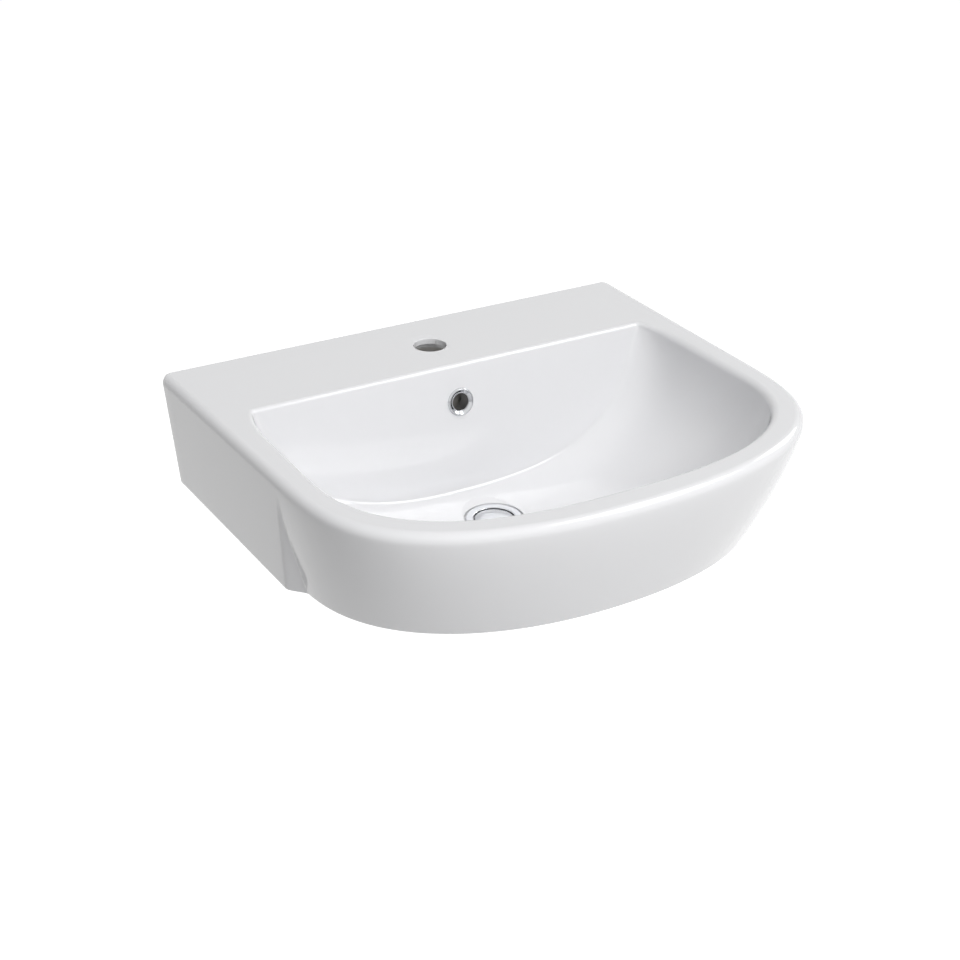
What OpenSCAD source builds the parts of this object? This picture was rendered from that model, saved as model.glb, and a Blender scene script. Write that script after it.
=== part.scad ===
// Semi-recessed washbasin with a click plug waste, millimetres.
// +X is to the right, -Y is towards the user, +Z is up.
// The origin lies on the back face, midway between the two wall fixing holes.

/* [Basin outline] */
// Width across the back
basin_w = 550; // [500:5:620]
// Depth from the wall to the front of the rim
basin_d = 470; // [440:5:500]
// Height of the side walls and the apron, from the rim to the lower edge
apron_h = 125; // [110:1:145]
// Length of the rounded front
nose_len = 214; // [190:2:225]
// How far each side closes in from the back to the front
side_close = 13; // [4:1:18]
// Squareness of the rounded front across the basin
nose_square_x = 2.16; // [2.05:0.01:2.5]
// Squareness of the rounded front along the basin, at the rim
nose_square_y = 3.5; // [2.6:0.1:4]

/* [Rim] */
// Width of the rim along each side, up to the bowl wall
rim_side = 37; // [34:1:48]
// Width of the rim at the front, up to the bowl wall
rim_front = 33; // [31:1:44]
// Depth of the flat deck behind the bowl
deck_d = 127; // [118:1:136]
// Radius of the rolled outer edge
rim_roll = 9; // [6:0.5:11]
// Radius of the deck's back edge
back_roll = 3; // [2:0.5:4]
// Radius of the edge where the rim turns down into the bowl
bowl_roll = 7; // [5:0.5:9]
// Radius of the edge where the deck turns down into the bowl
deck_roll = 4; // [3:0.5:6]

/* [Side walls and apron] */
// How far each side wall leans in at its lower edge
side_draft = 10; // [4:1:14]
// How far the apron leans in at its lower edge, beside the recess step
apron_side_in = 24; // [18:1:28]
// How far the apron leans in at its lower edge, at the front
apron_front_in = 34; // [26:1:40]
// Curve of the apron from rim to lower edge, where 1 is straight
apron_bulge = 1.3; // [1:0.05:1.6]
// Squareness of the rounded front along the basin, at the lower edge
apron_square_y = 2.5; // [2.3:0.1:3.2]
// Distance from the wall to the recess step, just under the rim
step_top = 267; // [262:1:290]
// Distance from the wall to the recess step, at the lower edge
step_foot = 261; // [257:1:270]
// Length over which the recess step turns in, at the lower edge
step_len = 12; // [8:0.5:15]
// Radius of the upright back corners
corner_r = 9; // [6:0.5:12]
// Radius of the lower edge
foot_r = 3; // [2:0.5:4]

/* [Ceramic walls] */
// Thickness of the bowl and of the side walls
wall = 12; // [10:0.5:13]
// Thickness of the back wall
back_wall = 14; // [12:0.5:18]
// Thickness of the deck
deck_t = 14; // [12:0.5:18]
// Depth from the rim to the top of the hollow inside the side walls and apron
hollow_top = 32; // [28:1:40]

/* [Bowl] */
// Depth from the rim to the bowl floor at the waste
bowl_h = 144; // [134:1:150]
// Distance from the wall to the middle of the waste
waste_y = 205; // [200:1:212]
// Lean of the bowl's back wall from upright, in degrees
back_lean = 10; // [7:0.5:12]
// Length of the bowl's rounded front
bowl_nose = 158; // [140:2:170]
// Squareness of the bowl's outline at the rim
bowl_square = 2.6; // [2.3:0.1:3]

/* [Tap and overflow] */
// Diameter of the tap hole
tap_d = 35; // [32:0.5:38]
// Distance from the wall to the middle of the tap hole
tap_y = 69; // [60:1:74]
// Thickness of the ceramic around the tap hole
tap_t = 6; // [5:0.5:9]
// Diameter of the recess under the tap hole
tap_recess_d = 54; // [48:1:60]
// Diameter of the overflow hole
overflow_d = 22; // [18:0.5:24]
// Depth from the rim to the middle of the overflow hole
overflow_h = 40; // [36:1:46]
// Width of the overflow duct behind the bowl
duct_w = 34; // [30:1:38]
// Thickness of the overflow duct
duct_t = 12; // [10:0.5:14]
// Ceramic around the overflow duct
duct_wall = 8; // [7:0.5:9]
// Outer diameter of the overflow trim ring
trim_d = 30; // [28:0.5:34]
// Height of the overflow trim ring above the ceramic
trim_h = 2.6; // [2:0.1:3.5]

/* [Wall fixing] */
// Distance between the two wall fixing holes
fixing_pitch = 280; // [240:5:320]
// Diameter of the wall fixing holes
fixing_d = 18; // [14:0.5:22]
// Depth from the rim to the wall fixing holes
fixing_h = 75; // [60:1:85]

/* [Waste] */
// Diameter of the waste hole in the ceramic
waste_hole_d = 47; // [46.8:0.1:49]
// Height of the ceramic boss around the waste hole
boss_h = 36; // [32:1:42]
// Thickness of the ceramic boss wall
boss_t = 12; // [10:0.5:14]
// Diameter of the waste flange
flange_d = 60; // [58:0.5:64]
// Thickness of the flange at its edge
flange_t = 2.2; // [1.6:0.1:3]
// Thickness of the rubber ring under the flange
flange_seal_t = 1.5; // [1:0.1:2.5]
// Diameter of the threaded tail
tail_d = 41.91; // [41:0.01:42.5]
// Length of the tail below the ceramic seat
tail_len = 74; // [68:1:90]
// Wall thickness of the tail
tail_wall = 2.4; // [2:0.1:3]
// Height of the rubber cone under the boss
cone_h = 7; // [5:0.5:10]
// Thickness of the slip washer
washer_t = 1.6; // [1:0.1:2.5]
// Height of the back nut
nut_h = 9; // [7:0.5:12]
// Width of the back nut across its flats
nut_af = 52; // [50:0.5:56]

/* [Click plug] */
// Diameter of the plug cap
cap_d = 42.4; // [41:0.1:43]
// Height of the plug cap's dome
cap_dome = 2.4; // [1.5:0.1:3.5]
// Lift of the plug from closed to open
plug_lift = 8; // [6:0.5:9]
// Outer diameter of the click housing
housing_d = 16; // [15:0.5:18]
// Diameter of the plunger
plunger_d = 8.8; // [8:0.1:9]
// Diameter of the plug stud
stud_d = 5; // [4:0.5:6]
// Wire diameter of the return spring
wire_d = 1; // [0.8:0.1:1.2]

/* [Hidden] */
$fn = 96;

// Gap between turning or sliding round parts
running_gap = 0.05;
// Gap between the plug's parts and the waste while the plug is shut
seat_gap = 0.3;
// Gap between parts that are pushed or screwed together
fit_gap = 0.02;
// How far a cutting tool passes the face it cuts
past = 1;

// Mesh counts of the ceramic, for one half of each ring
n_back = 8;
n_corner = 3;
n_side = 5;
n_step = 4;
n_front = 19;
i_back = n_back;
i_corner = i_back + n_corner;
i_side = i_corner + n_side;
i_step = i_side + n_step;
half_n = i_step + n_front;
ring_n = 2 * half_n;
roll_n = 4;
apron_n = 10;
foot_n = 2;
skirt_n = 5;
bowl_n = 18;
under_n = 12;

// Share of the recess step's length that is left just under the rim
step_fade = 0.5;

half_w = basin_w / 2;
nose_y = basin_d - nose_len;
bowl_half = half_w - rim_side;
bowl_front = basin_d - rim_front;
bowl_shoulder = bowl_front - bowl_nose;
floor_h = bowl_h - bowl_roll;
rim_z = fixing_h;
waste_hole_r = waste_hole_d / 2;
boss_r = waste_hole_r + boss_t;
// Depth of the seat that the waste flange sits on, and of the cut that clears it
seat_sink = 3;
flange_room = 12;
// How far the boss's lower edge is worn in, and how far its root spreads
boss_edge = 2;
boss_root = 5;
seat_h = bowl_h + seat_sink;
seat_z = rim_z - seat_h;
boss_foot_h = seat_h + boss_h;
// Half-width and softness of the bulge that holds the overflow duct
duct_bulge = duct_t + duct_wall;
duct_half = duct_w / 2 + duct_wall + 3;

function mix(a, b, t) = a + (b - a) * t;
function clamp01(t) = min(1, max(0, t));
function smooth(t) = let (u = clamp01(t)) u * u * (3 - 2 * u);

// Narrowing of the outline with the distance from the wall
function closing(y) = 1 - side_close / half_w * y / basin_d;

// Share of the way from the roll to the lower edge, at a depth below the rim
function fall(h) = clamp01((h - rim_roll) / (apron_h - rim_roll));

// One point of the outer surface, as [x, distance from the wall]:
// a straight back, a rounded corner, a drafted side wall, the recess step and the
// rounded apron. i counts along the half ring, h is the depth and e the inset.
function side_x(y, h, e) = (half_w - side_draft * fall(h) - e) * closing(y);
function apron_depth(h, e) = basin_d - apron_front_in * pow(fall(h), apron_bulge) - e;
function apron_power(h) = mix(nose_square_y, apron_square_y, pow(fall(h), apron_bulge));
function apron_angle(y, h, e) =
    asin(pow(clamp01((y - nose_y) / (apron_depth(h, e) - nose_y)), apron_power(h) / 2));
function apron_x(t, y, h, e) =
    (half_w - apron_side_in * pow(fall(h), apron_bulge) - e) * closing(y)
    * pow(abs(cos(t)), 2 / nose_square_x);
function apron_y(t, h, e) =
    nose_y + (apron_depth(h, e) - nose_y) * pow(sin(t), 2 / apron_power(h));
function step_y(h, e) = mix(step_top, step_foot, fall(h)) - 0.8 * e;
function step_run(h) = step_len * mix(step_fade, 1, fall(h));
function outer_xy(i, h, e, eb, rc) =
    let (y_step = step_y(h, e), y_end = y_step + step_run(h), x_back = side_x(eb, h, e) - rc)
    i <= i_back ? [x_back * pow(i / n_back, 1.5), eb] :
    i <= i_corner ? let (a = 90 * (i - i_back) / n_corner)
        [x_back + rc * sin(a), eb + rc * (1 - cos(a))] :
    i <= i_side ? let (y = mix(eb + rc, y_step, (i - i_corner) / n_side))
        [side_x(y, h, e), y] :
    i <= i_step ? let (w = (i - i_side) / n_step, y = mix(y_step, y_end, w))
        [mix(side_x(y, h, e), apron_x(apron_angle(y, h, e), y, h, e), smooth(w)), y] :
    let (w = (i - i_step) / n_front, t = mix(apron_angle(y_end, h, e), 90, pow(w, 1.5)),
        y = apron_y(t, h, e))
        [i == half_n ? 0 : apron_x(t, y, h, e), y];

// One point of the bowl, as [x, distance from the wall]. Each level is a rounded
// outline about the waste, cut off at the back by the leaning back wall.
// f is the share of the bowl's depth, h the depth and e the growth outwards.
function bowl_a(f, e) = bowl_half * pow(1 - f * f, 0.405) + e;
function bowl_b(f, e) =
    (waste_y - deck_d) * (4 / 3 * pow(1 - pow(f, 6), 0.6) + 0.5 * pow(1 - f, 6)) + e;
function bowl_c(f, e) = (bowl_front - waste_y) * pow(1 - f * f, 0.45) + e;
function bowl_power(f) = mix(3.3, 2.3, f * f);
function nose_power(f) = mix(bowl_square, 2.1, f);
function duct_bump(x) = exp(-pow(abs(x) / duct_half, 4));
function wall_y(h, x, e, bump) = deck_d + tan(back_lean) * h - e / cos(back_lean)
    - bump * duct_bump(x);
function arc_y(x, f, e, bump) = waste_y - bump * duct_bump(x)
    - bowl_b(f, e) * pow(clamp01(1 - pow(abs(x) / bowl_a(f, e), bowl_power(f))), 1 / bowl_power(f));
function crease_x(f, h, e) =
    let (k = (waste_y - wall_y(h, half_w, e, 0)) / bowl_b(f, e))
    max(0.45 * bowl_a(f, e),
        bowl_a(f, e) * pow(clamp01(1 - pow(k, bowl_power(f))), 1 / bowl_power(f)));
function bowl_xy(i, f, h, e, bump) =
    let (a = bowl_a(f, e), p = bowl_power(f), xl = crease_x(f, h, e),
        yl = max(wall_y(h, xl, e, bump), arc_y(xl, f, e, bump)),
        ys = waste_y + (bowl_shoulder - waste_y) * sqrt(1 - f))
    i <= i_back ? let (x = xl * pow(i / n_back, 1.5))
        [x, max(wall_y(h, x, e, bump), arc_y(x, f, e, bump))] :
    i <= i_side ? let (w = (i - i_back) / (i_side - i_back),
        t = mix(asin(pow(clamp01(xl / a), p / 2)), 90, w),
        x = a * pow(sin(t), 2 / p))
        [x, mix(yl, waste_y, 1 - pow(max(0, cos(t)), 2 / p)
            / pow(max(0.001, cos(asin(pow(clamp01(xl / a), p / 2)))), 2 / p))] :
    i <= i_step ? [a, mix(waste_y, ys, (i - i_side) / n_step)] :
    let (t = 90 * pow((i - i_step) / n_front, 1.2))
        [i == half_n ? 0 : a * pow(cos(t), 2 / nose_power(f)),
            ys + (waste_y + bowl_c(f, e) - ys) * pow(sin(t), 2 / nose_power(f))];

// Edge radii along the half ring: small along the back, full along the sides
function outer_roll(i) = mix(back_roll, rim_roll, smooth((i - i_back) / n_corner));
function inner_roll(i) = mix(deck_roll, bowl_roll, smooth((i - i_back) / (i_side - i_back)));
function roof_h(i) = mix(deck_t, hollow_top, smooth((i - i_back) / (i_side - i_back)));

function point(xy, h) = [xy[0], -xy[1], rim_z - h];

// Rings of the ceramic's skin, each given as a function of the half-ring index
function outer_edge(i, a) =
    let (r = outer_roll(i), e = r * (1 - sin(a)), h = r * (1 - cos(a)))
    point(outer_xy(i, h, e, e, corner_r), h);
function apron_ring(i, s) =
    let (h = mix(outer_roll(i), apron_h - foot_r, s))
    point(outer_xy(i, h, 0, 0, corner_r), h);
function foot_ring(i, a) =
    let (e = foot_r * (1 - cos(a)), h = apron_h - foot_r * (1 - sin(a)))
    point(outer_xy(i, h, e, e, corner_r), h);
function skirt_ring(i, s) =
    let (h = mix(apron_h, roof_h(i), s))
    point(outer_xy(i, h, wall, back_wall, corner_r), h);
function bowl_edge(i, a) =
    let (r = inner_roll(i), e = r * (1 - cos(a)), h = r * (1 - sin(a)))
    point(bowl_xy(i, 0, h, e, 0), h);
function bowl_ring(i, f) =
    let (h = mix(inner_roll(i), bowl_h, f))
    point(bowl_xy(i, f, h, 0, 0), h);
function under_ring(i, v) =
    let (f0 = (roof_h(i) - bowl_roll) / floor_h, f = mix(f0, 0.995, v),
        h = bowl_roll + floor_h * f + wall * pow(f, 3))
    point(bowl_xy(i, f, h, wall, duct_bulge), h);
function boss_ring(i, h, r) =
    let (a = 180 * i / half_n)
    point([r * sin(a), waste_y - r * cos(a)], h);

// Both halves of a ring, from the back, round the right side, to the front and back
function whole(half) = concat(half, [for (i = [half_n - 1:-1:1]) [-half[i][0], half[i][1], half[i][2]]]);

rings = concat(
    [for (k = [bowl_n - 1:-1:0]) whole([for (i = [0:half_n]) bowl_ring(i, sin(88 * k / (bowl_n - 1)))])],
    [for (k = [1:roll_n]) whole([for (i = [0:half_n]) bowl_edge(i, 90 * k / roll_n)])],
    [for (k = [0:roll_n - 1]) whole([for (i = [0:half_n]) outer_edge(i, 90 * k / roll_n)])],
    [for (k = [0:apron_n]) whole([for (i = [0:half_n]) apron_ring(i, k / apron_n)])],
    [for (k = [1:foot_n]) whole([for (i = [0:half_n]) foot_ring(i, 90 * k / foot_n)])],
    [for (k = [0:skirt_n]) whole([for (i = [0:half_n]) skirt_ring(i, k / skirt_n)])],
    [for (k = [0:under_n]) whole([for (i = [0:half_n]) under_ring(i, sin(90 * k / under_n))])],
    [whole([for (i = [0:half_n]) boss_ring(i, bowl_h + wall + boss_root, boss_r + boss_root)])],
    [whole([for (i = [0:half_n]) boss_ring(i, boss_foot_h - 1.5 * boss_edge, boss_r)])],
    [whole([for (i = [0:half_n]) boss_ring(i, boss_foot_h, boss_r - boss_edge)])]);

// Closed skin through all the rings, with a pole at each end
module ceramic_skin() {
    m = len(rings);
    first = [0, -waste_y, rim_z - bowl_h];
    last = [0, -waste_y, rim_z - boss_foot_h];
    pts = concat([for (r = rings) each r], [first, last]);
    sides = [for (k = [0:m - 2], i = [0:ring_n - 1]) let (j = (i + 1) % ring_n,
        a = k * ring_n + i, b = k * ring_n + j, c = a + ring_n, d = b + ring_n)
        each [[a, c, b], [b, c, d]]];
    top = [for (i = [0:ring_n - 1]) [m * ring_n, i, (i + 1) % ring_n]];
    foot = [for (i = [0:ring_n - 1])
        [m * ring_n + 1, (m - 1) * ring_n + (i + 1) % ring_n, (m - 1) * ring_n + i]];
    polyhedron(points = pts, faces = concat(sides, top, foot), convexity = 10);
}

basin_white = [0.93, 0.93, 0.93];
chrome = [0.78, 0.79, 0.81];
brass = [0.78, 0.66, 0.38];
rubber = [0.12, 0.12, 0.13];
nylon = [0.9, 0.9, 0.86];
steel = [0.66, 0.67, 0.69];

// Places parts about the overflow hole, with +Z out of the bowl's back wall
module at_overflow() {
    translate([0, -(deck_d + tan(back_lean) * overflow_h), rim_z - overflow_h])
        rotate([90 - back_lean, 0, 0]) children();
}

// Places parts about the waste, with z = 0 on the ceramic seat
module at_waste() {
    translate([0, -waste_y, seat_z]) children();
}

// Duct from the overflow hole down behind the bowl, then under the floor to the waste hole
duct_mid = wall + duct_t / 2;
duct_above = overflow_d / 2 + 3;
duct_len = (bowl_h - 3 - overflow_h) / cos(back_lean);
duct_turn_h = overflow_h + duct_len * cos(back_lean) + duct_mid * sin(back_lean);
duct_turn_y = wall_y(overflow_h, half_w, 0, 0) + duct_len * sin(back_lean) - duct_mid * cos(back_lean);
duct_out_h = seat_h + 20;
duct_out_y = waste_y - 0.6 * waste_hole_r;
module overflow_duct() {
    run = [duct_out_y - duct_turn_y, duct_out_h - duct_turn_h];
    run_w = duct_w - 3;
    at_overflow() {
        translate([0, 0, -duct_mid]) cylinder(h = duct_mid + past, d = overflow_d);
        translate([-duct_w / 2, -duct_len, -wall - duct_t])
            cube([duct_w, duct_len + duct_above, duct_t]);
    }
    translate([0, -duct_turn_y, rim_z - duct_turn_h]) rotate([atan2(run[1], run[0]), 0, 0])
        translate([-run_w / 2, -norm(run), -duct_t / 2]) cube([run_w, norm(run) + duct_t / 2, duct_t]);
}

// Ceramic that carries the duct across from the back wall to the boss
module duct_keel() {
    hull() {
        translate([-duct_w / 2 - duct_wall, -duct_turn_y, rim_z - duct_turn_h]) rotate([0, 90, 0])
            cylinder(h = duct_w + 2 * duct_wall, r = duct_t / 2 + duct_wall, $fn = 36);
        at_waste() translate([0, 0, -boss_h + 3])
            cylinder(h = boss_h - 15, r = boss_r - duct_wall, $fn = 48);
    }
}

// Glazed ceramic: the lofted skin with the tap hole, wall fixings, waste hole and duct cut.
// The deck is thinner around the tap hole, so that a tap's nut sits up in a round recess.
module basin() {
    color(basin_white) difference() {
        union() {
            ceramic_skin();
            duct_keel();
        }
        translate([0, -tap_y, rim_z - deck_t - past]) {
            cylinder(h = deck_t + 2 * past, d = tap_d);
            cylinder(h = deck_t - tap_t + past, d = tap_recess_d);
        }
        for (side = [-1, 1])
            translate([side * fixing_pitch / 2, past, rim_z - fixing_h])
                rotate([90, 0, 0]) cylinder(h = back_wall + 2 * past, d = fixing_d);
        at_waste() {
            translate([0, 0, -boss_h - past]) cylinder(h = boss_h + 2 * past, d = waste_hole_d);
            cylinder(h = flange_room, d = flange_d + 3);
        }
        overflow_duct();
    }
}

// Trim ring pushed into the overflow hole: a rounded bead and a neck with a snap lip
module overflow_ring() {
    sleeve_r = overflow_d / 2 - 0.3;
    bore_r = overflow_d / 2 - 1.8;
    bead_r = trim_h / 2;
    sleeve_len = wall + 1.5;
    snap_len = 2;
    snap_r = sleeve_r + 0.2;
    color(chrome) at_overflow() rotate_extrude() union() {
        translate([bore_r, -sleeve_len]) square([sleeve_r - bore_r, sleeve_len + bead_r]);
        translate([trim_d / 2 - bead_r, bead_r]) circle(r = bead_r);
        polygon([[bore_r, 0], [trim_d / 2 - bead_r, 0], [trim_d / 2 - bead_r, trim_h],
            [bore_r + 1.6, trim_h * 0.9], [bore_r + 0.5, trim_h * 0.6], [bore_r, trim_h * 0.25]]);
        polygon([[bore_r, -sleeve_len - snap_len], [sleeve_r, -sleeve_len - snap_len],
            [snap_r, -sleeve_len], [bore_r, -sleeve_len]]);
    }
}

// Heights of the waste's parts, from the ceramic seat
flange_foot = flange_seal_t;
flange_top = flange_foot + flange_t;
cup_r = cap_d / 2 + 0.6;
neck_r = cup_r + 1.3;
tail_r = tail_d / 2;
tail_bore = tail_r - tail_wall;
seat_top = -0.5;
seat_len = 4;
seat_foot = seat_top - seat_len;
neck_foot = -8;
spider_top = -24;
spider_h = 8;
hub_r = housing_d / 2 + 2.5;
slot_top = -11;
slot_h = 9;
slot_w = 15;
rib_w = 2.8;
rib_h = 6;
// How far the rounded edge of the flange comes in, and how far it falls
flange_edge = 1.2;

// Brass waste: dished flange, plug seat, threaded tail with overflow slots and a spider
module waste_body() {
    color(chrome) at_waste() difference() {
        union() {
            rotate_extrude() polygon([[cup_r, flange_top - 0.7], [cup_r + 0.8, flange_top - 0.2],
                [flange_d / 2 - flange_edge, flange_top], [flange_d / 2 - 0.3, flange_top - 0.5],
                [flange_d / 2, flange_top - flange_edge], [flange_d / 2, flange_foot],
                [neck_r, flange_foot], [neck_r, neck_foot], [tail_r, neck_foot - 2],
                [tail_r, -tail_len], [tail_bore, -tail_len], [tail_bore, seat_foot],
                [cup_r, seat_top]]);
            translate([0, 0, spider_top - spider_h]) cylinder(h = spider_h, r = hub_r);
            for (a = [0:120:240]) rotate([0, 0, a])
                translate([hub_r - 1.5, -rib_w / 2, spider_top - spider_h])
                    cube([tail_bore - hub_r + 2, rib_w, rib_h]);
        }
        translate([0, 0, spider_top - spider_h - past])
            cylinder(h = spider_h + 2 * past, d = housing_d + 2 * fit_gap);
        for (side = [0, 180]) rotate([0, 0, side + 90])
            translate([tail_bore - 2, -slot_w / 2, slot_top - slot_h])
                cube([tail_wall + 6, slot_w, slot_h]);
    }
}

// Rubber ring between the flange and the ceramic seat
module flange_seal() {
    color(rubber) at_waste() rotate_extrude()
        translate([waste_hole_r + 0.6, 0])
            square([flange_d / 2 - waste_hole_r - 1.6, flange_seal_t]);
}

// Heights of the parts clamped under the boss
cone_foot = -boss_h - cone_h;
washer_foot = cone_foot - washer_t;
nut_foot = washer_foot - nut_h;
clamp_r = boss_r - 3.5;
cone_rise = 5;

// Rubber cone pressed up into the waste hole from below
module cone_washer() {
    color(rubber) at_waste() rotate_extrude()
        polygon([[tail_r + fit_gap, cone_foot], [clamp_r, cone_foot], [clamp_r, -boss_h],
            [waste_hole_r - 0.1, -boss_h], [tail_r + 0.8, -boss_h + cone_rise],
            [tail_r + fit_gap, -boss_h + cone_rise]]);
}

// Slip washer between the cone and the nut
module slip_washer() {
    color(nylon) at_waste() rotate_extrude()
        translate([tail_r + fit_gap, washer_foot]) square([clamp_r - tail_r - 1, washer_t]);
}

// Six-sided back nut with a round collar
module back_nut() {
    face_h = 2.5;
    face_r = nut_af / 2 + 1.5;
    color(brass) at_waste() difference() {
        union() {
            translate([0, 0, washer_foot - face_h]) cylinder(h = face_h, r = face_r);
            translate([0, 0, nut_foot]) cylinder(h = nut_h - face_h, d = nut_af / cos(30), $fn = 6);
        }
        translate([0, 0, nut_foot - past]) cylinder(h = nut_h + 2 * past, r = tail_r + fit_gap);
    }
}

// Heights and radii of the click mechanism
housing_r = housing_d / 2;
guide_top = -14;
guide_len = 6;
guide_foot = guide_top - guide_len;
plunger_r = plunger_d / 2;
guide_r = plunger_r + running_gap;
chamber_r = housing_r - 1.8;
collar_r = chamber_r - seat_gap;
collar_h = 5;
collar_top = guide_foot - plug_lift - 0.6;
collar_foot = collar_top - collar_h;
pin_r = 0.9;
pin_z = (collar_top + collar_foot) / 2;
pin_half = chamber_r + 0.8;
spring_len = 11;
base_top = collar_foot - spring_len;
base_t = 3;
base_plug = 2;
housing_foot = base_top;
// Shoulder by which the barrel hangs in the spider
shoulder_h = 2;
shoulder_r = housing_r + 1.5;
// Plunger above the guide while the plug is shut
plunger_top = guide_top + 4;
spring_mid_r = (plunger_r + chamber_r) / 2 - 0.6;
stem_r = spring_mid_r - wire_d / 2 - 0.4;

// Barrel of the click mechanism, screwed into the waste's spider
module click_housing() {
    color(nylon) at_waste() difference() {
        union() {
            translate([0, 0, housing_foot]) cylinder(h = guide_top - housing_foot, r = housing_r);
            translate([0, 0, spider_top]) cylinder(h = shoulder_h, r = shoulder_r);
        }
        translate([0, 0, guide_foot - past]) cylinder(h = guide_len + 2 * past, r = guide_r);
        translate([0, 0, housing_foot - past])
            cylinder(h = guide_foot - housing_foot + past, r = chamber_r);
        for (side = [0, 180]) rotate([0, 0, side])
            translate([0, -pin_r - seat_gap, pin_z - pin_r - seat_gap])
                cube([pin_half + seat_gap, 2 * (pin_r + seat_gap), plug_lift + 2 * (pin_r + seat_gap)]);
    }
}

// Screwed base that closes the barrel and carries the spring
module click_base() {
    color(nylon) at_waste() {
        translate([0, 0, base_top - base_t]) cylinder(h = base_t, r = housing_r);
        translate([0, 0, base_top - fit_gap]) cylinder(h = base_plug, r = chamber_r - fit_gap);
    }
}

// Plunger that carries the plug, with a collar for the latch pin and a stem in the spring
module plunger() {
    stem_len = 4;
    color(brass) at_waste() difference() {
        union() {
            translate([0, 0, collar_top]) cylinder(h = plunger_top - collar_top, r = plunger_r);
            translate([0, 0, collar_foot]) cylinder(h = collar_h, r = collar_r);
            translate([0, 0, collar_foot - stem_len]) cylinder(h = stem_len + 1, r = stem_r);
        }
        translate([0, 0, plunger_top - stud_grip]) cylinder(h = stud_grip + past, d = stud_d);
        translate([-collar_r - past, 0, pin_z]) rotate([0, 90, 0])
            cylinder(h = 2 * (collar_r + past), r = pin_r + fit_gap);
    }
}

// Cross pin whose ends run in the barrel's latch track
module latch_pin() {
    color(steel) at_waste() translate([-pin_half, 0, pin_z]) rotate([0, 90, 0])
        cylinder(h = 2 * pin_half, r = pin_r);
}

// Return spring under the plunger: one round wire wound as a helix
spring_turns = 5;
spring_steps = 14;
spring_foot = base_top + base_plug + wire_d / 2 + 0.1;
spring_top = collar_foot - wire_d / 2 - 0.1;
function spring_at(k) = let (n = spring_turns * spring_steps, a = 360 * k / spring_steps)
    [spring_mid_r * cos(a), spring_mid_r * sin(a), mix(spring_foot, spring_top, k / n)];
module return_spring() {
    n = spring_turns * spring_steps;
    wire_n = 6;
    pts = [for (k = [0:n], j = [0:wire_n - 1]) let (c = spring_at(k), a = 360 * k / spring_steps,
        b = 360 * j / wire_n, r = wire_d / 2)
        [c[0] + r * cos(b) * cos(a), c[1] + r * cos(b) * sin(a), c[2] + r * sin(b)]];
    skin = [for (k = [0:n - 1], j = [0:wire_n - 1]) let (i = (j + 1) % wire_n,
        a = k * wire_n + j, b = k * wire_n + i, c = a + wire_n, d = b + wire_n)
        each [[a, b, c], [b, d, c]]];
    ends = [[for (j = [wire_n - 1:-1:0]) j], [for (j = [0:wire_n - 1]) n * wire_n + j]];
    color(steel) at_waste() polyhedron(points = pts, faces = concat(skin, ends), convexity = 8);
}

// Plug parts, from the stud in the plunger to the domed cap
stud_grip = 7;
stud_foot = plunger_top - stud_grip;
cap_foot = flange_top - 2.6;
cap_edge = 1.7;
cap_boss_h = 3.5;
cap_boss_r = 6;
nut_t = 2.4;
lock_nut_d = 9;
plug_nut_z = cap_foot - cap_boss_h - nut_t;
// Ceiling left under the cap above the end of the stud's hole
stud_end = 0.4;

// Threaded stud between the plunger and the cap
module plug_stud() {
    color(steel) at_waste() translate([0, 0, stud_foot])
        cylinder(h = cap_foot - stud_end - stud_foot, d = stud_d - 2 * fit_gap);
}

// Thin nut that locks the stud's height
module stud_nut() {
    color(steel) at_waste() translate([0, 0, plug_nut_z]) difference() {
        cylinder(h = nut_t, d = lock_nut_d, $fn = 6);
        translate([0, 0, -past]) cylinder(h = nut_t + 2 * past, d = stud_d);
    }
}

// Rubber seal held under the cap, shaped to the cone of the waste's seat
module plug_seal() {
    seal_t = 1.6;
    lip_r = cap_d / 2 - 0.2;
    lip_foot = cap_foot - 3;
    lip_foot_r = mix(cup_r, tail_bore, (seat_top - lip_foot) / seat_len) - 1.3 * seat_gap;
    color(rubber) at_waste() rotate_extrude()
        polygon([[cap_boss_r + fit_gap, cap_foot], [lip_r, cap_foot], [lip_r, cap_foot - 1.2],
            [lip_foot_r, lip_foot], [lip_foot_r - 1.5, lip_foot],
            [lip_foot_r - 2.5, cap_foot - seal_t], [cap_boss_r + fit_gap, cap_foot - seal_t]]);
}

// Domed cap with a threaded boss underneath
module plug_cap() {
    r = cap_d / 2;
    dome_r = (r * r + cap_dome * cap_dome) / (2 * cap_dome);
    dome_n = 8;
    crown_z = cap_foot + cap_edge + cap_dome;
    color(chrome) at_waste() difference() {
        rotate_extrude() polygon(concat(
            [[0, cap_foot - cap_boss_h], [cap_boss_r, cap_foot - cap_boss_h], [cap_boss_r, cap_foot],
                [r - 0.4, cap_foot], [r, cap_foot + 0.4]],
            [for (k = [dome_n:-1:0]) let (x = r * k / dome_n)
                [x, crown_z - dome_r + sqrt(dome_r * dome_r - x * x)]]));
        translate([0, 0, cap_foot - cap_boss_h - past])
            cylinder(h = cap_boss_h + past - stud_end, d = stud_d);
    }
}

basin();
overflow_ring();
waste_body();
flange_seal();
cone_washer();
slip_washer();
back_nut();
click_housing();
click_base();
plunger();
latch_pin();
return_spring();
plug_stud();
stud_nut();
plug_seal();
plug_cap();
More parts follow.
